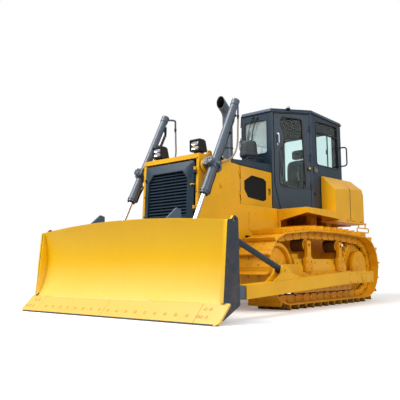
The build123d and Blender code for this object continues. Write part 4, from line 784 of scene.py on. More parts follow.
# Each barrel turns on two pins in a fork, and the fork's own pin turns in the guard's boss.
shafts = Shape("yoke_shafts", "root", "yellow_paint", YELLOW)
for sign, name in SIDES:
    body = "barrel_" + name
    shafts.lathe((sign * 0.5125, YOKE.y, YOKE.z), (sign, 0, 0),
                 "0 92, 4 92, 30 80, 36 74, 38 66, 38 46, 46 46", 48)

    rings = Shape(f"lift_rings_{name}", body, "cylinder_paint", CYLINDER)
    for reach, radius, wide in mm("-1030 57.5 12, -975 56.5 6, 75 57.5 10, 380 60.5 12, 440 57.5 4"):
        rows = [(0, 0.052), (0, radius - 0.001), (0.0015, radius)]
        rows += [(wide - along, size) for along, size in rows[::-1]]
        rings.lathe(on_cylinder(sign, reach - wide / 2), DOWN, rows, 40)
    rings.lathe(on_cylinder(sign, -1.0605), -DOWN, "-2 52, 0 52, 4 47, 4 26, 10 24", 40)
    rings.done()
    gland = Shape(f"lift_gland_{name}", body, "black_plastic", BLACK, DARK_STEEL)
    gland.lathe(on_cylinder(sign, 0.4462), DOWN, "0 52, 5 52, 8 48, 8 32.5, 3 31.5", 40).on(1)
    for c, s in spokes(8, 0.5):
        gland.bolt(on_cylinder(sign, 0.414) + (BACK * c + X * s) * 0.0615, BACK * c + X * s, 0.005)
    gland.done()

    # Pipe clamps and hoses: rigid pieces that swing with the barrel.
    hoses = Shape(f"lift_hoses_{name}", body, "black_plastic", RUBBER, HOSE, DARK_STEEL, WRAP)
    hoses.tube(smooth_path(along_cylinder(sign, """405 75, 375 90, 280 86 -4, 160 94 -10, 50 110 -30,
        -30 105 -45, -90 85 -35""")), 0.012)
    hoses.tube(along_cylinder(sign, "-20 98 -24, -300 98 -24, -550 98 -24, -800 98 -24, -920 60 -10"), 0.0175)
    for turn in (0.0190, -0.0190):
        hoses.on(3).tube([
            on_cylinder(sign, -0.04 - 0.0031 * i, 0.098 + 0.0190 * cos(i * 0.42),
                        turn * sin(i * 0.42) - 0.024)
            for i in range(245)
        ], 0.0032, 5)
    hoses.on(1).tube(smooth_path(mirrored(sign, """590 -700 2640, 588 -697 2560, 584 -700 2440, 580 -700 2310,
        578 -724 2185, 580 -790 2080, 588 -900 1995, 596 -1030 1945, 600 -1150 1922""")), 0.0125, 14)
    hoses.index = 2
    ends = mirrored(sign, "590 -700 2640, 600 -1144 1923")
    for spot, axis in zip(ends, (Z, Vector((0, -0.98, -0.19)).normalized())):
        hoses.lathe(spot - axis * 0.045, axis, "0 13.5, 2 15.5, 26 15.5, 28 13.5, 45 13.5", 20)
        hoses.lathe(spot - axis * 0.014, axis, "0 19, 18 19, 20 17", 6)
    for reach, off, radius in mm("""-860 70 26, -580 90 27, -160 94 30, -90 94 30, -20 94 30, 140 72 18,
            270 72 18, 400 72 18"""):
        rows = [(0, radius - 0.002), (0.002, radius), (0.016, radius), (0.018, radius - 0.002)]
        hoses.lathe(on_cylinder(sign, reach - 0.009, off), DOWN, rows, 20)
        tab = [(-0.006, -0.03), (0.006, -0.03), (0.006, radius - 0.006), (-0.006, radius - 0.006)]
        hoses.skin([[on_cylinder(sign, reach + r, off + o, x) for r, o in tab] for x in (-0.007, 0.007)])
    hoses.done()

    fork = Shape(f"lift_yoke_{name}", body, "cylinder_paint", CYLINDER)
    nuts = Shape(f"lift_yoke_bolts_{name}", body, "cylinder_paint", CYLINDER)
    base = Wall(on_cylinder(sign, 0), BACK, -DOWN, (sign, 0, 0))
    fork.plate(base, box("-104 -52, 104 52", 0.02), -0.098, -0.066)
    for end in (-1, 1):
        arm = Wall(on_cylinder(sign, 0), (sign, 0, 0), -DOWN, BACK * end)
        eye = [(0.058 * cos(pi * (i / 12 - 0.5)), 0.058 * sin(pi * (i / 12 - 0.5))) for i in range(13)]
        fork.plate(arm, [(-0.096, -0.050)] + eye + [(-0.096, 0.050)], 0.066, 0.100)
        fork.lathe(arm.origin, arm.w, "98 54, 108 54, 112 50, 112 22, 107 19, 107 8", 36)
        for c, s in spokes(3, 0.75):
            rib = Wall(arm.origin, arm.u * c + arm.v * s, arm.v * c - arm.u * s, arm.w)
            fork.plate(rib, mm("16 -6, 51 -9, 51 9, 16 6"), 0.108, 0.1185)
        for c, s in spokes(3, 0.25):
            nuts.bolt(on_cylinder(sign, -0.038 * s, end * 0.112, 0.038 * c), arm.w, 0.0095)
    fork.lathe(on_cylinder(sign, -0.055), DOWN, "0 56.5, 0 65.5, 4 68, 106 68, 110 65.5, 110 56.5", 40)
    fork.done(edge=0.0025)
    nuts.done()
shafts.done(replaces=["lift_brackets"])

# ---- hood sides ----------------------------------------------------------------------------
# The engine doors draw in towards the cab, by TAPER for each metre behind y = -0.7.
HOOD_HALF, TAPER = edge_of("side_panels", 0), 1 / 6
DOOR_MESH = mm("123 1665, 239 1558, 755 1549, 856 1580, 868 1859, 772 1891, 372 1889, 125 1781")
MESH_STEP = 0.0165


def clipped(point, heading, outline):
    """The part of a line inside a convex outline, as two distances along it."""
    low, high = -9.0, 9.0
    for a, b in zip(outline, outline[1:] + outline[:1]):
        inward = (a[1] - b[1], b[0] - a[0])
        gap = (point[0] - a[0]) * inward[0] + (point[1] - a[1]) * inward[1]
        rate = heading[0] * inward[0] + heading[1] * inward[1]
        if abs(rate) < 1e-9:
            if gap < 0:
                return None
        elif rate > 0:
            low = max(low, -gap / rate)
        else:
            high = min(high, -gap / rate)
    return (low, high) if high - low > 0.004 else None


inner = grown(DOOR_MESH, -0.004)
for sign, name in SIDES:
    wall = Wall((sign * (HOOD_HALF - 0.2 * TAPER), -0.500, 0), (-sign * TAPER, 1, 0), Z, (sign, TAPER, 0))
    door, out = f"engine_door_{name}", (sign, 0, 0)
    screen = Shape(f"engine_screen_{name}", door, "black_plastic", BLACK)
    screen.plate(wall, grown(DOOR_MESH, -0.002), -0.0118, -0.0105)
    for slant in (1, -1):
        c, s = cos(radians(45)), slant * sin(radians(45))
        deep = -0.0062 + slant * 0.0011
        for i in range(-40, 41):
            start = (0.5 - s * i * MESH_STEP, 1.72 + c * i * MESH_STEP)
            run = clipped(start, (c, s), inner)
            if run:
                screen.tube([wall.at(start[0] + c * t, start[1] + s * t, deep) for t in run], 0.0024, 5)
    screen.done()
    seal = Shape(f"engine_bay_seal_{name}", "root", "black_plastic", RUBBER)
    seal.tube(wall.path("1086 2036.5 0.4, -7.5 1991.5 0.4, -7.5 1430 0.4, 1086 1458 0.4"), 0.0034, 8).done()
    rim = Shape(f"engine_screen_rim_{name}", door, "black_plastic", RUBBER)
    rim.trim(wall, corners([(*p, 0.012) for p in grown(DOOR_MESH, 0.004)], 3), 0.012, -0.009, 0.0035).done()
    fit = Shape(f"engine_door_fittings_{name}", door, "yellow_paint", YELLOW, DARK_STEEL)
    heads = wall.path("45 1475, 45 1600, 45 1740, 45 1900, 1035 1500, 1035 1720, 1035 1950")
    fit.bolts(heads, wall.w, 0.0075)
    fit.on(1).trim(wall, box("955 1665, 1010 1775", 0.01), 0.006, -0.001, 0.004)
    fit.lathe(wall.at(0.983, 1.745), wall.w, "-1 14, 5 14, 7 11", 20)
    fit.tube(bent(wall.path("983 1742 6, 983 1742 16, 983 1685 16, 983 1685 4"), 0.006, 4), 0.0055, 8)
    fit.done()
    panel = Shape(f"side_panel_fittings_{name}", "root", "yellow_paint", YELLOW)
    cover = corners("-360 1337 6, -40 1337 6, -40 1060 30, -360 1060 50", 5)
    panel.plate(cross_wall(sign * HOOD_HALF, sign), cover, -0.001, 0.004)
    panel.bolts(mirrored(sign, """504 -345 1320, 504 -200 1320, 504 -55 1320, 504 -345 1200, 504 -55 1200,
        504 -330 1085, 504 -200 1075, 504 -70 1085, 500 -734 1869, 500 -611 1299, 500 -400 1390, 500 50 1390,
        500 340 1390, 500 340 1200, 500 340 1050, 500 120 1050"""), out, 0.008)
    x = sign * (HOOD_HALF - 0.165 * TAPER)
    panel.bolts([(x, -0.535, z) for z in (1.47, 1.62, 1.80, 1.95)], wall.w, 0.007)
    panel.done()

# ---- on the hood ---------------------------------------------------------------------------
CLEANER = Vector((0, middle_of("pre_cleaner").y, 0))
cleaner = Shape("pre_cleaner_bowl", "root", "black_plastic", CHARCOAL, DARK_STEEL)
cleaner.lathe(CLEANER, Z, """2001 59.5, 2255 59.5, 2262 70, 2286 122, 2296 136, 2312 142.5, 2346 142.5,
    2354 139, 2360 134.5, 2440 130, 2508 124.5, 2526 118, 2537 106, 2541.5 85, 2541.5 20""", 64)
for c, s in spokes(28):
    rib = Wall(CLEANER, (c, s, 0), (-s, c, 0), Z)
    cleaner.skin([
        [rib.at(radius + r, side, z) for r, side in mm("-4 -2.8, 3.2 -2.2, 3.2 2.2, -4 2.8")]
        for z, radius in mm("2366 134.2, 2505 124.8")
    ])
cleaner.on(1).ring(CLEANER + Z * 2.352, Z, 0.1405, 0.003, 64, 8)
cleaner.lathe(CLEANER + Z * 2.541, Z, "0 14, 4 14, 7 10", 6)
cleaner.done(replaces=["pre_cleaner"])
boot = Shape("pre_cleaner_boot", "root", "black_plastic", RUBBER)
boot.lathe(CLEANER + Z * 2.115, Z, "0 60.5, 4 80, 16 84, 24 76, 32 70, 70 68, 75 60.5", 40).done()

STACK = Vector((0, -0.170, 0))
RUN = Vector((0, -0.166, 0.132)).normalized()
TOP = STACK + Z * 2.895
axis = [STACK + Z * z for z in (1.752, 2.2, 2.6)] + bent([STACK + Z * 2.70, TOP, TOP + RUN * 0.200], 0.16, 10)
headings = []
for i, point in enumerate(axis):
    before = (point - axis[i - 1]).normalized() if i else Z
    after = (axis[i + 1] - point).normalized() if i + 1 < len(axis) else before
    headings.append((before + after).normalized())


def stack_loop(point, heading, radius):
    other = heading.cross(X).normalized()
    return [point + (X * c + other * s) * radius for c, s in spokes(48)]


def mouth_loop(radius, y):
    """The mouth is cut upright, so its loop lies in one vertical plane."""
    return [spot + RUN * ((y - spot.y) / RUN.y) for spot in stack_loop(axis[-1], RUN, radius)]


def stack_skin(start, radius):
    return [stack_loop(*row, radius) for row in list(zip(axis, headings))[start:-1]]


pipe = Shape("exhaust_pipe", "root", "cylinder_paint", CYLINDER)
mouth = [mouth_loop(radius, y) for radius, y in mm("77 -336, 75.5 -335.8, 71 -336")]
pipe.skin(stack_skin(0, 0.077) + mouth + stack_skin(0, 0.071)[::-1], wrap=True)
pipe.done(angle=50, replaces=["exhaust_stack"])
lining = Shape("exhaust_lining", "root", "black_plastic", SOOT)
mouth = [mouth_loop(radius, y) for radius, y in mm("70.6 -330, 69 -330")]
lining.skin(stack_skin(2, 0.0706) + mouth + stack_skin(2, 0.069)[::-1], wrap=True).done(angle=50)
clamp = Shape("exhaust_fittings", "root", "cylinder_paint", CYLINDER, DARK_STEEL)
clamp.lathe(STACK + Z * 2.128, Z, "0 76.5, 0 112, 6 112, 10 90, 22 84, 24 76.5", 48).on(1)
clamp.lathe(STACK + Z * 2.330, Z, "0 76.5, 1 80.5, 21 80.5, 22 76.5", 48)
clamp.bolts(around(STACK + Z * 2.136, 2, 0.099, 4, 0.5), Z, 0.008)
clamp.tube([STACK + Vector(row) for row in mm("82 -28 2341, 82 28 2341")], 0.006, 8)
clamp.done()

rail = Shape("hood_handrail", "root", "grey_paint", SLATE)
for sign, _ in SIDES:
    rail.tube(bent(mirrored(sign, """205 3 2113, 205 3 2166, 205 69 2222, 205 447 2253, 205 557 2212,
        205 557 2171"""), 0.035), 0.0105, 14)
    for foot in mirrored(sign, "205 3 2120, 205 557 2167"):
        rail.lathe(foot, Z, "0 26, 5 26, 7 22", 24)
rail.done()

# ---- cab -----------------------------------------------------------------------------------
def cab_wall(start, end, sign):
    along = Vector((sign * (end[0] - start[0]), end[1] - start[1], 0)).normalized()
    return Wall((sign * start[0], start[1], 0), along, Z, (sign * along.y, -sign * along.x, 0))


CAB_FRONT, CAB_REAR = edge_of("cab_shell", 1, 0), edge_of("cab_shell", 1)
PLAN = [(-0.285, CAB_FRONT), (0.285, CAB_FRONT), (0.7, 1.15),
        (0.66, CAB_REAR), (-0.66, CAB_REAR), (-0.7, 1.15)]
FRONT, REAR = upright(0, CAB_FRONT, 0), upright(0, CAB_REAR, 0, 1)
# columns: u, v, corner radius
DOOR_WINDOW = """129 1825 75, 567 1786 60, 521 2925 40, 165 2950 45, 163 2831 40, 227 2654 60, 200 2473 60,
    135 2396 30"""
SIDE_WINDOW = "150 2210 60, 985 2235 60, 950 2985 45, 140 2935 45"
UPPER_LIGHT = "138 2754 0, 962 2787 0, 950 2985 45, 140 2935 45"
LOWER_LIGHT = "150 2210 60, 985 2235 60, 962 2785 0, 138 2752 0"
FRONT_WINDOW = "-240 2365 50, 200 2365 50, 200 2920 50, -240 2920 50"
REAR_WINDOW = "-500 2150 60, 500 2150 60, 500 2920 60, -500 2920 60"
HINGE_U = 0.655
HINGES = (1.830, 2.300, 2.770)


def window_trim(name, body, wall, rows):
    outline = corners(rows, 8)
    seal = Shape(name, body, "black_plastic", RUBBER, TRIM_GREY)
    seal.trim(wall, grown(outline, 0.013), 0.022, -0.019, 0.0065)
    seal.on(1).trim(wall, grown(outline, 0.004), 0.005, 0.003, 0.0085)
    seal.done(angle=40)


# The fixed panes: a front one with a film over it, and a shaded light over each side window.
panes = Shape("cab_panes", "root", "glass", GLASS, HAZE_GLASS, SHADE_GLASS)
fitted = [(1, FRONT, FRONT_WINDOW), (0, REAR, REAR_WINDOW)]
window_trim("front_window_seal", "root", FRONT, FRONT_WINDOW)
window_trim("rear_window_seal", "root", REAR, REAR_WINDOW)
for sign, name in SIDES:
    door, wall = cab_wall(*PLAN[1:3], sign), cab_wall(*PLAN[2:4], sign)
    leaf = f"cab_door_{name}"
    fitted += [(0, wall, LOWER_LIGHT), (2, wall, UPPER_LIGHT)]
    window_trim(f"side_window_seal_{name}", "root", wall, SIDE_WINDOW)
    window_trim(f"cab_door_seal_{name}", leaf, door, DOOR_WINDOW)

    # The side window: a rail under a fixed light, and two panes that slide behind each other.
    slider = Shape(f"side_window_slider_{name}", "root", "black_plastic", BLACK)
    slider.plate(wall, mm("136 2742, 962 2774, 960 2800, 136 2768"), -0.0195, 0.002)
    slider.plate(wall, mm("575 2228, 597 2229, 593 2760, 571 2759"), -0.0195, -0.006)
    slider.plate(wall, box("540 2440, 556 2520"), -0.0195, -0.005).done(edge=0.002)
    ribbon = Shape(f"side_window_ribbon_{name}", "root", "black_plastic", BLUE)
    ribbon.plate(wall, mm("160 2900, 300 2912, 300 2930, 160 2918"), -0.034, -0.030).done()
    # A rubber seal shows round the door's free edges.
    gap = Shape(f"cab_door_gap_{name}", "root", "black_plastic", RUBBER)
    gap.tube([door.at(u, v, 0.0006) for u, v in mm("""653.5 1447.5, 128.5 1447.5, 37 1850, 37 3013,
        653.5 3013""")], 0.0036, 8).done()

    # Door hardware, on the door that carries it.
    grip = Shape(f"cab_door_grip_{name}", leaf, "rod_chrome", CHROME)
    grip.tube(bent(door.path("108 2672 0, 108 2672 48, 108 2500 48, 108 2500 0"), 0.03), 0.0095, 14)
    for spot in door.path("108 2500, 108 2672"):
        grip.lathe(spot, door.w, "-1 19, 4 19, 6 15")
    grip.done()
    knob = Shape(f"cab_door_knob_{name}", leaf, "rod_chrome", BRASS, DARK_STEEL)
    knob.on(1).plate(door, box("600 2065, 645 2165", 0.008, 3), -0.001, 0.006)
    knob.on(0).lathe(door.at(0.622, 2.115, 0.005), door.w, "0 12, 18 11, 22 20, 30 24, 38 22, 42 15", 28)
    knob.done()
    caps = Shape(f"cab_door_seams_{name}", leaf, "grey_paint", SLATE)
    pins = Shape(f"cab_hinge_caps_{name}", "root", "grey_paint", SLATE)
    for v in HINGES:
        caps.bolts([door.at(HINGE_U + off, v - 0.025, 0.008) for off in (-0.034, -0.018)], door.w, 0.005)
        pins.lathe(door.at(HINGE_U, v + 0.0502, 0.015), Z, "0 13.5, 4 12.5, 7 8", 20)
        pins.bolts([door.at(HINGE_U + off, v + 0.025, 0.008) for off in (0.012, 0.024)], door.w, 0.005)
    caps.done()
    pins.bolts(wall.path("60 1500, 60 1620"), wall.w, 0.007)
    pins.bolts([wall.at(u, v) for u in (0.08, 1.04) for v in (2.30, 2.60, 2.90)], wall.w, 0.0055)
    pins.done()
    hold = Shape(f"cab_latch_{name}", "root", "grey_paint", SLATE_GLOSS, CHROME)
    hold.plate(wall, box("35 2055, 135 2170", 0.008, 3), -0.001, 0.010).on(1)
    for spot in wall.path("55 2085 9, 55 2145 9, 115 2085 9, 115 2145 9"):
        hold.lathe(spot, wall.w, "0 9, 4 9, 6 6", 14)
    hold.tube(wall.path("35 2112 16, 136 2112 16"), 0.007, 10)
    hold.on(0).plate(wall, box("20 1700, 125 1738", 0.006, 3), -0.001, 0.012)
    hold.tube(wall.path("50 1719 10, 50 1719 45"), 0.012, 14).done()
for panes.index, wall, rows in fitted:
    panes.plate(wall, grown(corners(rows, 8), -0.0006), -0.0262, -0.0202)
panes.done(replaces=["cab_glass"])

# columns: the pivot, the arm's elbow, the blade's middle
WIPERS = ("-56 2991, -142 2800, -190 2600", "22 2969, -60 2790, -120 2560")
wipers = Shape("wipers", "root", "black_plastic", BLACK, RUBBER)
for table in WIPERS:
    (x, z), (elbow_x, elbow_z), tip = mm(table)
    heading = Vector((tip[0] - elbow_x, tip[1] - elbow_z)).normalized()
    ends = [Vector(tip) + heading * reach for reach in (-0.16, 0.17)]
    wipers.on(0).lathe(FRONT.at(x, z), FRONT.w, "0 17, 12 17, 18 12, 24 11", 20)
    wipers.tube(FRONT.path([(x, z, 0.018), (elbow_x, elbow_z, 0.014), (tip[0], tip[1] + 0.05, -0.004)]),
                [0.006, 0.0045, 0.0035], 8)
    wipers.tube(FRONT.path([(x + 0.014, z - 0.015, 0.016), (elbow_x + 0.014, elbow_z, 0.012),
                            (tip[0] + 0.010, tip[1] + 0.04, -0.004)]), 0.0028, 6)
    for index, deep, radius in ((1, -0.010, 0.0052), (0, -0.004, 0.0032)):
        wipers.on(index).tube([FRONT.at(*end, deep) for end in ends], radius, 6)
wipers.done()

ROOF_Z = edge_of("cab_roof", 2)
beacon = Shape("roof_lamp", "root", "lamp", LENS_WHITE, BLACK)
beacon.on(1).lathe((0.474, 0.815, ROOF_Z - 0.0015), Z, "-10 36, 6 36, 9 32", 28)
beacon.on(0).lathe((0.474, 0.815, ROOF_Z + 0.006), Z, "0 30, 20 29, 30 24, 36 14", 28).done()
roof = Shape("roof_gutter", "root", "grey_paint", SLATE)
roof.trim(LEVEL, grown(PLAN, 0.0195), 0.014, 3.030, 3.044).done()

# Inside: headliner, floor mat, console, lever boxes, the boot of the seat's column and the seat.
liner = Shape("cab_liner", "root", "black_plastic", FELT)
for inset, low, high in mm("-54 2985 3030, -100 2930 2986, -54 1472 1486"):
    liner.plate(LEVEL, grown(PLAN, inset), low, high)
liner.done(edge=0.006)
console = Shape("cab_console", "root", "black_plastic", BLACK)
console.plate(upright(0, edge_of("control_console", 1), 0, 1), corners("""-200 1472 10, 200 1472 10,
    160 2020 30, 190 2100 30, 170 2195 30, -170 2195 30, -190 2100 30, -160 2020 30""", 4), -0.138, 0)
console.done(edge=0.01, replaces=["control_console"])
levers = Shape("cab_levers", "root", "black_plastic", RUBBER, STEEL)
for x, y, lean in mm("-360 1450 -50, 360 1450 50, 340 1300 20"):
    housing = corners("-60 1486 10, 60 1486 10, 55 1980 30, -55 1980 30", 4)
    levers.plate(upright(x, y, 0, 1), housing, -0.10, 0.24)
    stick = smooth_path([(x, y, 1.96), (x + lean * 0.4, y - 0.02, 2.06), (x + lean, y - 0.05, 2.14)])
    levers.on(1).tube(stick, 0.009, 10).on(0)
    levers.lathe((x + lean, y - 0.05, 2.13), (0, -0.1, 1), "0 14, 12 24, 50 27, 72 22, 82 10", 20)
for i in range(5):
    levers.ring((0, 1.675, 1.52 + 0.05 * i), Z, 0.115, 0.022, 28, 8)
levers.done()


def cushion(name, middle, half, crown, channels=(), tilt=0.0):
    """A stuffed form: full in the middle, drawn in at its piped edge, with sewn channels."""
    bm = bmesh.new()
    bmesh.ops.create_cube(bm, size=2)
    bmesh.ops.subdivide_edges(bm, edges=bm.edges[:], cuts=26, use_grid_fill=True)
    turn = Matrix.Rotation(tilt, 3, "X")
    for vert in bm.verts:
        x, y, z = vert.co
        pull = (abs(x) ** 5 + abs(y) ** 5 + abs(z) ** 5) ** (-1 / 5)
        x, y, z = x * pull, y * pull, z * pull
        swell = (1 - x * x) * (1 - y * y)
        seam = min(1, sum(max(0.0, 1 - abs(x - c) / 0.035) for c in channels)) * (abs(z) > 0.5)
        waist = 1 + 0.02 * sin(3 * x) * z
        spot = Vector((
            x * half[0] * (1 - 0.03 * y * y), y * half[1] * (1 - 0.035 * x * x),
            z * (half[2] + crown * swell) * waist,
        ))
        spot.z += 0.002 * sin(21 * x + 3 * y) * swell - (0.006 if z > 0 else -0.006) * seam
        vert.co = Vector(middle) + turn @ spot
    mesh = bpy.data.meshes.new(name)
    bmesh.ops.recalc_face_normals(bm, faces=bm.faces)
    bm.to_mesh(mesh)
    bm.free()
    mesh.materials.append(SEAT_CLOTH)
    piece = stand(name, mesh)
    piece.data.shade_smooth()
    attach(piece, "root")
    rim = []
    for c, s in spokes(72):
        pull = (abs(c) ** 5 + abs(s) ** 5) ** (-1 / 5) * 0.985
        rim.append(Vector(middle) + turn @ Vector((c * pull * half[0], s * pull * half[1], half[2] * 0.42)))
    loops = []
    for i, point in enumerate(rim):
        heading = (rim[(i + 1) % 72] - rim[i - 1]).normalized()
        side = heading.cross(turn @ Z).normalized()
        other = heading.cross(side)
        loops.append([point + (side * c + other * s) * 0.005 for c, s in spokes(8)])
    Shape(name + "_piping", "root", "seat_cloth", SEAT_CLOTH).skin(loops, wrap=True).done()
    return piece


TWO_CHANNELS = (-0.45, 0.45)
seat = cushion("seat_cushion", (0, 1.650, 1.860), (0.252, 0.250, 0.050), 0.012, TWO_CHANNELS)
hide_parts("operator_seat")
cushion("seat_backrest", (0, 1.920, 2.180), (0.235, 0.270, 0.046), 0.012, TWO_CHANNELS, radians(90))
cushion("seat_headrest", (0, 1.925, 2.555), (0.130, 0.080, 0.040), 0.008, tilt=radians(90))
posts = Shape("seat_posts", "root", "black_plastic", BLACK)
for sign, name in SIDES:
    cushion(f"seat_armrest_{name}", (sign * 0.285, 1.72, 2.080), (0.034, 0.150, 0.024), 0.005)
    posts.tube(mirrored(sign, "50 1925 2420, 50 1925 2500"), 0.006, 10)
    posts.tube(smooth_path(mirrored(sign, "262 1900 1950, 270 1885 2030, 285 1840 2060")), 0.012, 10)
posts.plate(LEVEL, box("-200 1460, 200 1880", 0.03), 1.775, 1.812).done()

# ---- tracks --------------------------------------------------------------------------------
TRACK_X = middle_of("track_left").x
PITCH = 0.2032
PIN_LOW_Z = 0.130
SPROCKET_PIN_R = PITCH * 26 / (4 * pi)
SPROCKET = (middle_of("sprockets").y, PIN_LOW_Z + SPROCKET_PIN_R)
IDLER_PIN_R = 0.407
IDLER_Z = PIN_LOW_Z + IDLER_PIN_R
CARRIERS, CARRIER_Z = (0.240, 1.200), 0.865


def belt(circles):
    """Arcs and straight runs of a belt laid round (y, z, radius) circles."""
    normals = []
    for (y0, z0, r0), (y1, z1, r1) in zip(circles, circles[1:] + circles[:1]):
        normals.append(atan2(z1 - z0, y1 - y0) - acos((r0 - r1) / hypot(y1 - y0, z1 - z0)))
    runs = []
    for i, (y, z, r) in enumerate(circles):
        after = circles[(i + 1) % len(circles)]
        runs.append(("arc", (y, z, r), normals[i - 1], r * ((normals[i] - normals[i - 1]) % (2 * pi))))
        out = (cos(normals[i]), sin(normals[i]))
        start = (y + r * out[0], z + r * out[1])
        end = (after[0] + after[2] * out[0], after[1] + after[2] * out[1])
        runs.append(("line", start, end, hypot(end[0] - start[0], end[1] - start[1])))
    return runs


def belt_point(runs, distance):
    for kind, first, second, length in runs:
        if distance > length:
            distance -= length
        elif kind == "line":
            return tuple(a + (b - a) * distance / length for a, b in zip(first, second))
        else:
            y, z, r = first
            return (y + r * cos(second + distance / r), z + r * sin(second + distance / r))
    return belt_point(runs, 0)


def chain(idler_y):
    circles = [(idler_y, IDLER_Z, IDLER_PIN_R), (*SPROCKET, SPROCKET_PIN_R)]
    return belt(circles + [(y, CARRIER_Z, 0.144) for y in CARRIERS[::-1]])


def slack(idler_y):
    """What a chain of whole links is longer than the belt."""
    return SHOES * PITCH - sum(run[3] for run in chain(idler_y))


idler_y = middle_of("idlers").y
SHOES = round(sum(run[3] for run in chain(idler_y)) / PITCH)
for _ in range(8):
    idler_y -= slack(idler_y) / 2
PINS = [belt_point(chain(idler_y), i * PITCH) for i in range(SHOES)]

for sign, name in SIDES:
    bolts = Shape(f"track_bolts_{name}", "root", "track_steel", TRACK_YELLOW)
    pins = Shape(f"track_pins_{name}", "root", "track_steel", TRACK_YELLOW)
    for (y0, z0), (y1, z1) in zip(PINS, PINS[1:] + PINS[:1]):
        along = (0, y1 - y0, z1 - z0)
        shoe = Wall((sign * TRACK_X, (y0 + y1) / 2, (z0 + z1) / 2), X, along, (0, along[2], -along[1]))
        bolts.bolts([shoe.at(x, v, 0.0655) for x in (-0.082, 0.082) for v in (-0.020, 0.052)], shoe.w, 0.0125)
        for side in (-1, 1):
            x, out = side * 0.1055, (side, 0, 0)
            pins.lathe((sign * TRACK_X + x, y0, z0), out, "-2 32, 2 32, 5 29, 5.5 21, 9 21, 10 19", 20)
            for v in (-0.045, 0.045):
                pins.lathe(shoe.at(x, v, 0.004), out, "-1 11, 2 11, 4 8", 12)
    bolts.done()
    pins.done()

ribs = Shape("carrier_roller_ribs", "root", "track_steel", ROLLER, SOOT)
under = Shape("undercarriage_fasteners", "root", "track_steel", TRACK_YELLOW, RED)
for sign, _ in SIDES:
    middle, out = sign * TRACK_X, (sign, 0, 0)
    # Bolts of the sprocket segments, the final drive cover with its bolts, and the idler hub with its bolts.
    for x, radius, count, size in ((0.0352, 0.330, 26, 0.013), (0.1352, 0.190, 12, 0.012)):
        under.bolts(around((middle + sign * x, *SPROCKET), 0, radius, count, 0.5), out, size)
    under.lathe((middle + sign * 0.135, *SPROCKET), out, """-2 246, 8 240, 12 225, 12 130, 24 120, 26 110,
        26 40, 34 36, 34 12""", 64)
    under.lathe((middle + sign * 0.110, idler_y, IDLER_Z), out, "0 80, 6 80, 10 72, 10 30, 20 26, 21 20", 40)
    under.bolts(around((middle + sign * 0.118, idler_y, IDLER_Z), 0, 0.055, 6), out, 0.009)
    # Bolts of the guard plates along the track rollers, and bolts on the frame's slope.
    for i in range(9):
        under.bolts([(middle + sign * 0.140, -0.10 + 0.195 * i, z) for z in (0.250, 0.455)], out, 0.012)
    slope = Vector((sign * 0.115, 0, 0.050))
    under.bolts([(middle + sign * 0.095, y, 0.6125) for y in (0.02, 0.52, 0.90, 1.40)], slope, 0.012)
    for y in CARRIERS:
        for x in (-0.084, -0.050, -0.016, 0.018, 0.052, 0.086):
            spot = (middle + x, y, CARRIER_Z)
            ribs.on(0).lathe(spot, X, "-13 88.5, -10 93.5, 10 93.5, 13 88.5", 40)
            ribs.on(1).lathe(spot, X, "12 88.5, 13 90, 21 90, 22 88.5", 40)
        feet = [(middle + sign * 0.165, y + dy, z) for z in (0.53, 0.63) for dy in (-0.06, 0.06)]
        under.on(0).bolts(feet, out, 0.012)
        for side in (-1, 1):
            under.lathe((middle + side * 0.1052, y, CARRIER_Z), (side, 0, 0), "0 86, 3 86, 6 78, 4 52", 36)
        under.on(1).lathe((middle + sign * 0.1655, y, CARRIER_Z), out, "0 18, 6 18, 9 13", 20).on(0)
ribs.done()
under.done()

# ---- push arms -----------------------------------------------------------------------------
ARM_X, ARM_FACE_X, TRUNNION = 1.330, edge_of("push_arms", 0), (1.350, 0.400)
arms = Shape("push_arm_fittings", "blade", "yellow_paint", YELLOW)
for sign, _ in SIDES:
    face, out = cross_wall(sign * ARM_FACE_X, sign), (sign, 0, 0)
    arms.trim(face, corners("845 320 10, 1690 322 20, 1690 472 20, 845 474 10", 4), 0.010, -0.001, 0.004)
    arms.lathe(face.at(*TRUNNION), out, "0 88, 8 88, 12 82, 12 30, 18 26, 18 12", 40)
    arms.bolts(around(face.at(*TRUNNION, 0.0125), 0, 0.062, 6), out, 0.010)
    arms.bolts([face.at(y, z, 0.0005) for y in (0.90, 1.12, 1.60) for z in (0.345, 0.450)], out, 0.011)
    for side in (-1, 1):
        web, out = cross_wall(sign * ARM_X, side), (side, 0, 0)
        arms.lathe(web.at(-0.873, 0.529, 0.0655), out, "-2 34, 6 34, 9 29, 9 14, 16 14, 18 10", 28)
        arms.bolts(web.path("-1050 420 65.2, -660 440 65.2"), out, 0.008)
arms.done()

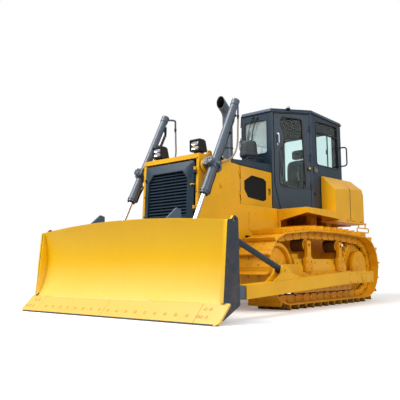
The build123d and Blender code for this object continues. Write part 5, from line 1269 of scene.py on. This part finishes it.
# ---- deck and rear -------------------------------------------------------------------------
BOX_X, LID_SLOPE = edge_of("side_boxes", 0), 73 / 933
DECK_Z = edge_of("fenders", 2)
deck = Shape("deck_fittings", "root", "yellow_paint", YELLOW, DARK_STEEL, BLACK)
for sign, _ in SIDES:
    face, out = cross_wall(sign * BOX_X, sign), (sign, 0, 0)
    deck.on(0).bolts(mirrored(sign, """620 390 1360, 800 390 1375, 950 390 1385, 585 390 1300, 520 390 1060,
        520 390 1200"""), -Y, 0.008)
    deck.bolts([(sign * 1.010, 0.47 + 0.165 * i, 1.385) for i in range(6)], out, 0.008)
    deck.bolts(face.path("""1460 1340, 1880 1340, 2000 1340, 2400 1340, 1460 1720, 1880 1720,
        2000 1720"""), out, 0.008)
    # The boxes' hinges and the seam between their doors.
    for y in (1.480, 1.795, 2.015, 2.305):
        deck.lathe(face.at(y, 1.315, 0.003), Y, "0 8, 1 9, 69 9, 70 8", 14)
    rise = 0.535 * LID_SLOPE
    seam = [(0.9466, 1.292), (0.9466, 1.798 + rise), (0.7305, 2.0262)]
    deck.on(2).tube([(sign * x, 1.940, z) for x, z in seam], 0.0034, 8)
    # Tread on the deck beside the cab: raised lozenges.
    deck.index = 0
    for i in range(17):
        for k in range(4):
            lean = 0.016 if (i + k) % 2 else -0.016
            x, y = 0.745 + 0.062 * k, 0.62 + 0.044 * i
            foot, tip = Vector((sign * x, y - 0.011, DECK_Z)), Vector((sign * (x + lean), y + 0.011, DECK_Z))
            along, middle = (tip - foot).normalized(), foot.lerp(tip, 0.5)
            side = Vector((along.y, -along.x, 0)) * 0.0042
            outline = [foot, middle + side, tip, middle - side]
            crest = [p.lerp(middle, 0.15) + Z * 0.0022 for p in outline]
            deck.skin([[p - Z * 0.001 for p in outline], crest])
    deck.on(1).bolts([(sign * x, 2.46, z) for z in (1.36, 1.72) for x in (0.75, 0.90)], Y, 0.008)
deck.done()

TANK_FACE = upright(0, edge_of("fuel_tank", 1), 0, 1)
tank = Shape("tank_fittings", "root", "yellow_paint", YELLOW, BLACK, DARK_STEEL)
tank.bolts([TANK_FACE.at(0.31 * i, z) for i in range(-2, 3) for z in (1.80, 1.32)], Y, 0.009)
tank.trim(TANK_FACE, box("-200 1400, 200 1700", 0.03, 5), 0.012, -0.001, 0.004)
tank.on(1).lathe((0.42, 2.300, 2.024), Z, "0 48, 6 48, 7 40, 30 40, 34 36", 32)
tank.on(2).ring((0.42, 2.300, 2.034), Z, 0.044, 0.003, 32, 6).done()
lights = Shape("rear_lamps", "root", "lamp", BLACK, RED_LENS)
for spot in ((0.55, 2.390, 1.935), (-0.55, 2.390, 1.935)):
    lights.on(0).lathe(spot, (0, 0.8, 0.6), "0 46, 16 46, 19 42", 28)
    lights.on(1).lathe(spot, (0, 0.8, 0.6), "12 37, 22 37, 26 25", 28)
lights.done()
pin = Shape("drawbar_fittings", "root", "yellow_paint", YELLOW)
pin.bolts([(x, 2.460, z) for x in (-0.12, 0.12) for z in (0.51, 0.73)], Y, 0.014).done()


# ---- studio --------------------------------------------------------------------------------
def camera():
    """The camera stands low in front of the machine's left corner and looks slightly up."""
    yaw, pitch, roll = radians(40.477), radians(6.8064), radians(-0.414)
    ahead = Vector((-sin(yaw) * cos(pitch), cos(yaw) * cos(pitch), sin(pitch)))
    right = Vector((cos(yaw), sin(yaw), 0))
    up = right.cross(ahead)
    right, up = right * cos(roll) + up * sin(roll), up * cos(roll) - right * sin(roll)
    data = bpy.data.cameras.new("camera")
    data.sensor_width = 36
    data.lens = 50.42
    data.clip_end = 500
    eye = stand("camera", data)
    turn = Matrix((right, up, -ahead)).transposed().to_4x4()
    eye.matrix_world = Matrix.Translation((5.0864, -6.7891, 0.5669)) @ turn
    bpy.context.scene.camera = eye


def softbox(name, where, target, size, power):
    data = bpy.data.lights.new(name, "AREA")
    data.shape = "RECTANGLE"
    data.size, data.size_y = size
    data.energy = power
    lamp = stand(name, data)
    lamp.location = where
    lamp.rotation_euler = (Vector(target) - Vector(where)).to_track_quat("-Z", "Y").to_euler()


def world():
    """Soft light from all round, brighter overhead; what the camera sees of it is white."""
    sky = bpy.data.worlds.new("studio")
    bpy.context.scene.world = sky
    sky.use_nodes = True
    nodes, links = sky.node_tree.nodes, sky.node_tree.links
    turn, axes, level, rays, seen, final = (nodes.new("ShaderNode" + kind) for kind in (
        "TexCoord", "SeparateXYZ", "MapRange", "LightPath", "Math", "Math",
    ))
    for socket, value in (("From Min", -0.1), ("From Max", 0.9), ("To Min", 0.30), ("To Max", 0.80)):
        level.inputs[socket].default_value = value
    seen.operation = final.operation = "MAXIMUM"
    background = nodes["Background"]
    background.inputs["Color"].default_value = (1, 1, 1, 1)
    for source, target in (
        (turn.outputs["Generated"], axes.inputs[0]), (axes.outputs["Z"], level.inputs["Value"]),
        (rays.outputs["Is Camera Ray"], seen.inputs[0]),
        (rays.outputs["Is Transmission Ray"], seen.inputs[1]),
        (seen.outputs[0], final.inputs[0]), (level.outputs["Result"], final.inputs[1]),
        (final.outputs[0], background.inputs["Strength"]),
    ):
        links.new(source, target)


def floor():
    """A wide pale floor that fades into the white beyond it."""
    n = Nodes("studio_floor")
    seen = n.add("LightPath").outputs["Is Camera Ray"]
    pale = n.blend(n.noise(0.7, 2.0), (0.86, 0.86, 0.86), (0.88, 0.88, 0.88))
    distance = n.add("VectorMath", {0: n.place}, operation="LENGTH").outputs["Value"]
    fade = n.ramp(distance, 0.22, 1.0, 4.5, 16.0)
    n.set(Base_Color=n.blend(seen, (0.48, 0.48, 0.48), pale), Roughness=0.9, Emission_Color=(1, 1, 1, 1),
          Emission_Strength=n.maths("MULTIPLY", fade, seen))
    bm = bmesh.new()
    bmesh.ops.create_circle(bm, cap_ends=True, radius=120, segments=96)
    mesh = bpy.data.meshes.new("studio_floor")
    bm.to_mesh(mesh)
    bm.free()
    mesh.materials.append(n.material)
    ground = stand("studio_floor", mesh)


camera()
world()
floor()
softbox("key", (-3.5, -6.0, 10.0), (0, -0.6, 1.0), (7, 7), 1100)
softbox("side", (9.0, -3.0, 5.0), (0.5, 0.3, 1.2), (6, 5), 260)
bpy.context.scene.view_settings.view_transform = "Standard"
